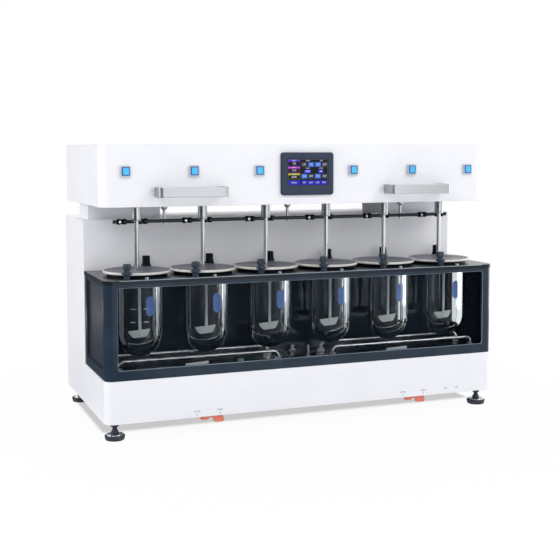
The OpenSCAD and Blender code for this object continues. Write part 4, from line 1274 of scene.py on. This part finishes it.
# The sheet starts behind the window, keeps a gap to the opening, and has three faces in steps off the wall.
pane_from, pane_gap, steps_out = 30.4, 0.4, np.array([0.5, 0.45, 0.05])
pane_loop = outline(cover_low[1] + pane_from, pane_high[1] - 0.1, wz0 + pane_gap, wz1 - pane_gap,
                    (5.6,) * 4, 5, 1.0)
sheets = []
for wall in (pane_low[0], pane_high[0]):
    faces_at = wall + math.copysign(1.0, wall) * steps_out
    sheets.append((stack([pane_loop] * 3, faces_at, True)[..., [2, 0, 1]], False, [0, 1]))
piece("end_panes", sheets, "base", [grey_painted_reflection_film, film_back])
print("end panes at x", pane_low[0].round(1), "and", pane_high[0].round(1))

# %% [markdown]
# ## Screws and small marks
# The clamp screws on the rail face the front and glint. The back panels are held by small pan-head screws.
# A dot under each word points at the lever's place. Such small rows are quickest as one lathe call with many
# centres.

# %% Rail clamps
clamp_front = box_mm("rail_clamps")[0][1]
rail_y, rail_z = box_mm("sampling_rail").mean(0)[1:]
clamp_step, screw_step = np.array([-26, 26]), np.array([-6, 6])
clamp_mid = (axes[:, 0][:, None] + clamp_step[None]).ravel()
rail_at = np.column_stack([clamp_mid, np.full(len(clamp_mid), rail_y), np.full(len(clamp_mid), rail_z)])
lobes = [(4.6, -12.0), (6.0, -12.0), (6.6, -11.4), (7.0, -9.5), (7.0, -4.0), (6.4, -2.0), (5.6, 0.0),
         (6.4, 2.0), (7.0, 4.0), (7.0, 9.5), (6.6, 11.4), (6.0, 12.0), (4.6, 12.0)]
spots = (clamp_mid[:, None] + screw_step[None]).ravel()
clamp_at = np.column_stack([spots, np.full(len(spots), clamp_front), np.full(len(spots), rail_z)])
boss = [(0.3, -6.0), (5.0, -6.0), (5.0, -0.8), (4.5, -0.2), (3.6, 0.0), (0.3, 0.0)]
clamps = piece("rail_clamp_lobes", [(lathe(lobes, rail_at, 40, along="x"), True, None),
                                    (lathe(boss, clamp_at, 28, along="y"), False, None)],
               "head", [black_nylon])
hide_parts("rail_clamps")
print("clamps:", len(clamp_mid))

# %% Screws
cap_head = [(0.2, -1.0), (3.3, -1.0), (3.3, 0.9), (2.9, 1.3), (1.6, 1.3), (1.5, 0.4), (0.2, 0.4)]
# One screw in four is bright; the others are the same screw in darker steel, a painted shade where they glint
# less.
bright_at, painted_dark_screw_spots = clamp_at[::4], np.delete(clamp_at, np.s_[::4], 0)
piece("clamp_screws", [(lathe(cap_head, bright_at, 20, along="y"), False, None),
                       (lathe(cap_head, painted_dark_screw_spots, 20, along="y"), False, [1] * 6)], "head",
      [turned_steel, painted_dark_screw_steel])
print("clamp screws:", len(bright_at), "bright,", len(painted_dark_screw_spots), "dark")

# %% Screws of the back panels
screw_x = np.array([-490, -245, 0, 245, 490])
pan = [(0.2, -0.8), (3.6, -0.8), (3.6, 0.4), (3.0, 1.2), (1.2, 1.6), (1.1, 0.8), (0.2, 0.8)]


def back_screws(name, body, back, rows):
    """Pan-head screws on a back wall at y = back, one at each screw_x in each pair of rows (z): turned as
    on a front wall, then mirrored in that wall."""
    spots = [(x, back, z) for pair in rows for x in screw_x for z in pair]
    grid = lathe(pan, spots, 20, along="y")
    grid[..., 1] = 2 * back - grid[..., 1]
    piece(name, [(grid, False, None)], body, [turned_steel])
    return len(spots)


base_count = back_screws("back_screws", "base", base_high[1], [(152, 488), (54, 132)])
head_count = back_screws("head_back_screws", "head", head_high[1], [(550, 676)])
print("back screws:", base_count + head_count)

# %% Dots under the words
dots = [(x, base_low[1], 48.5) for text, x in lever_marks]
dot = [(0.1, -0.1), (1.3, -0.1), (1.3, 0.1), (0.1, 0.1)]
piece("mark_dots", [(lathe(dot, dots, 16, along="y"), False, None)], "base", [grey_ink])
print("dots:", len(dots))
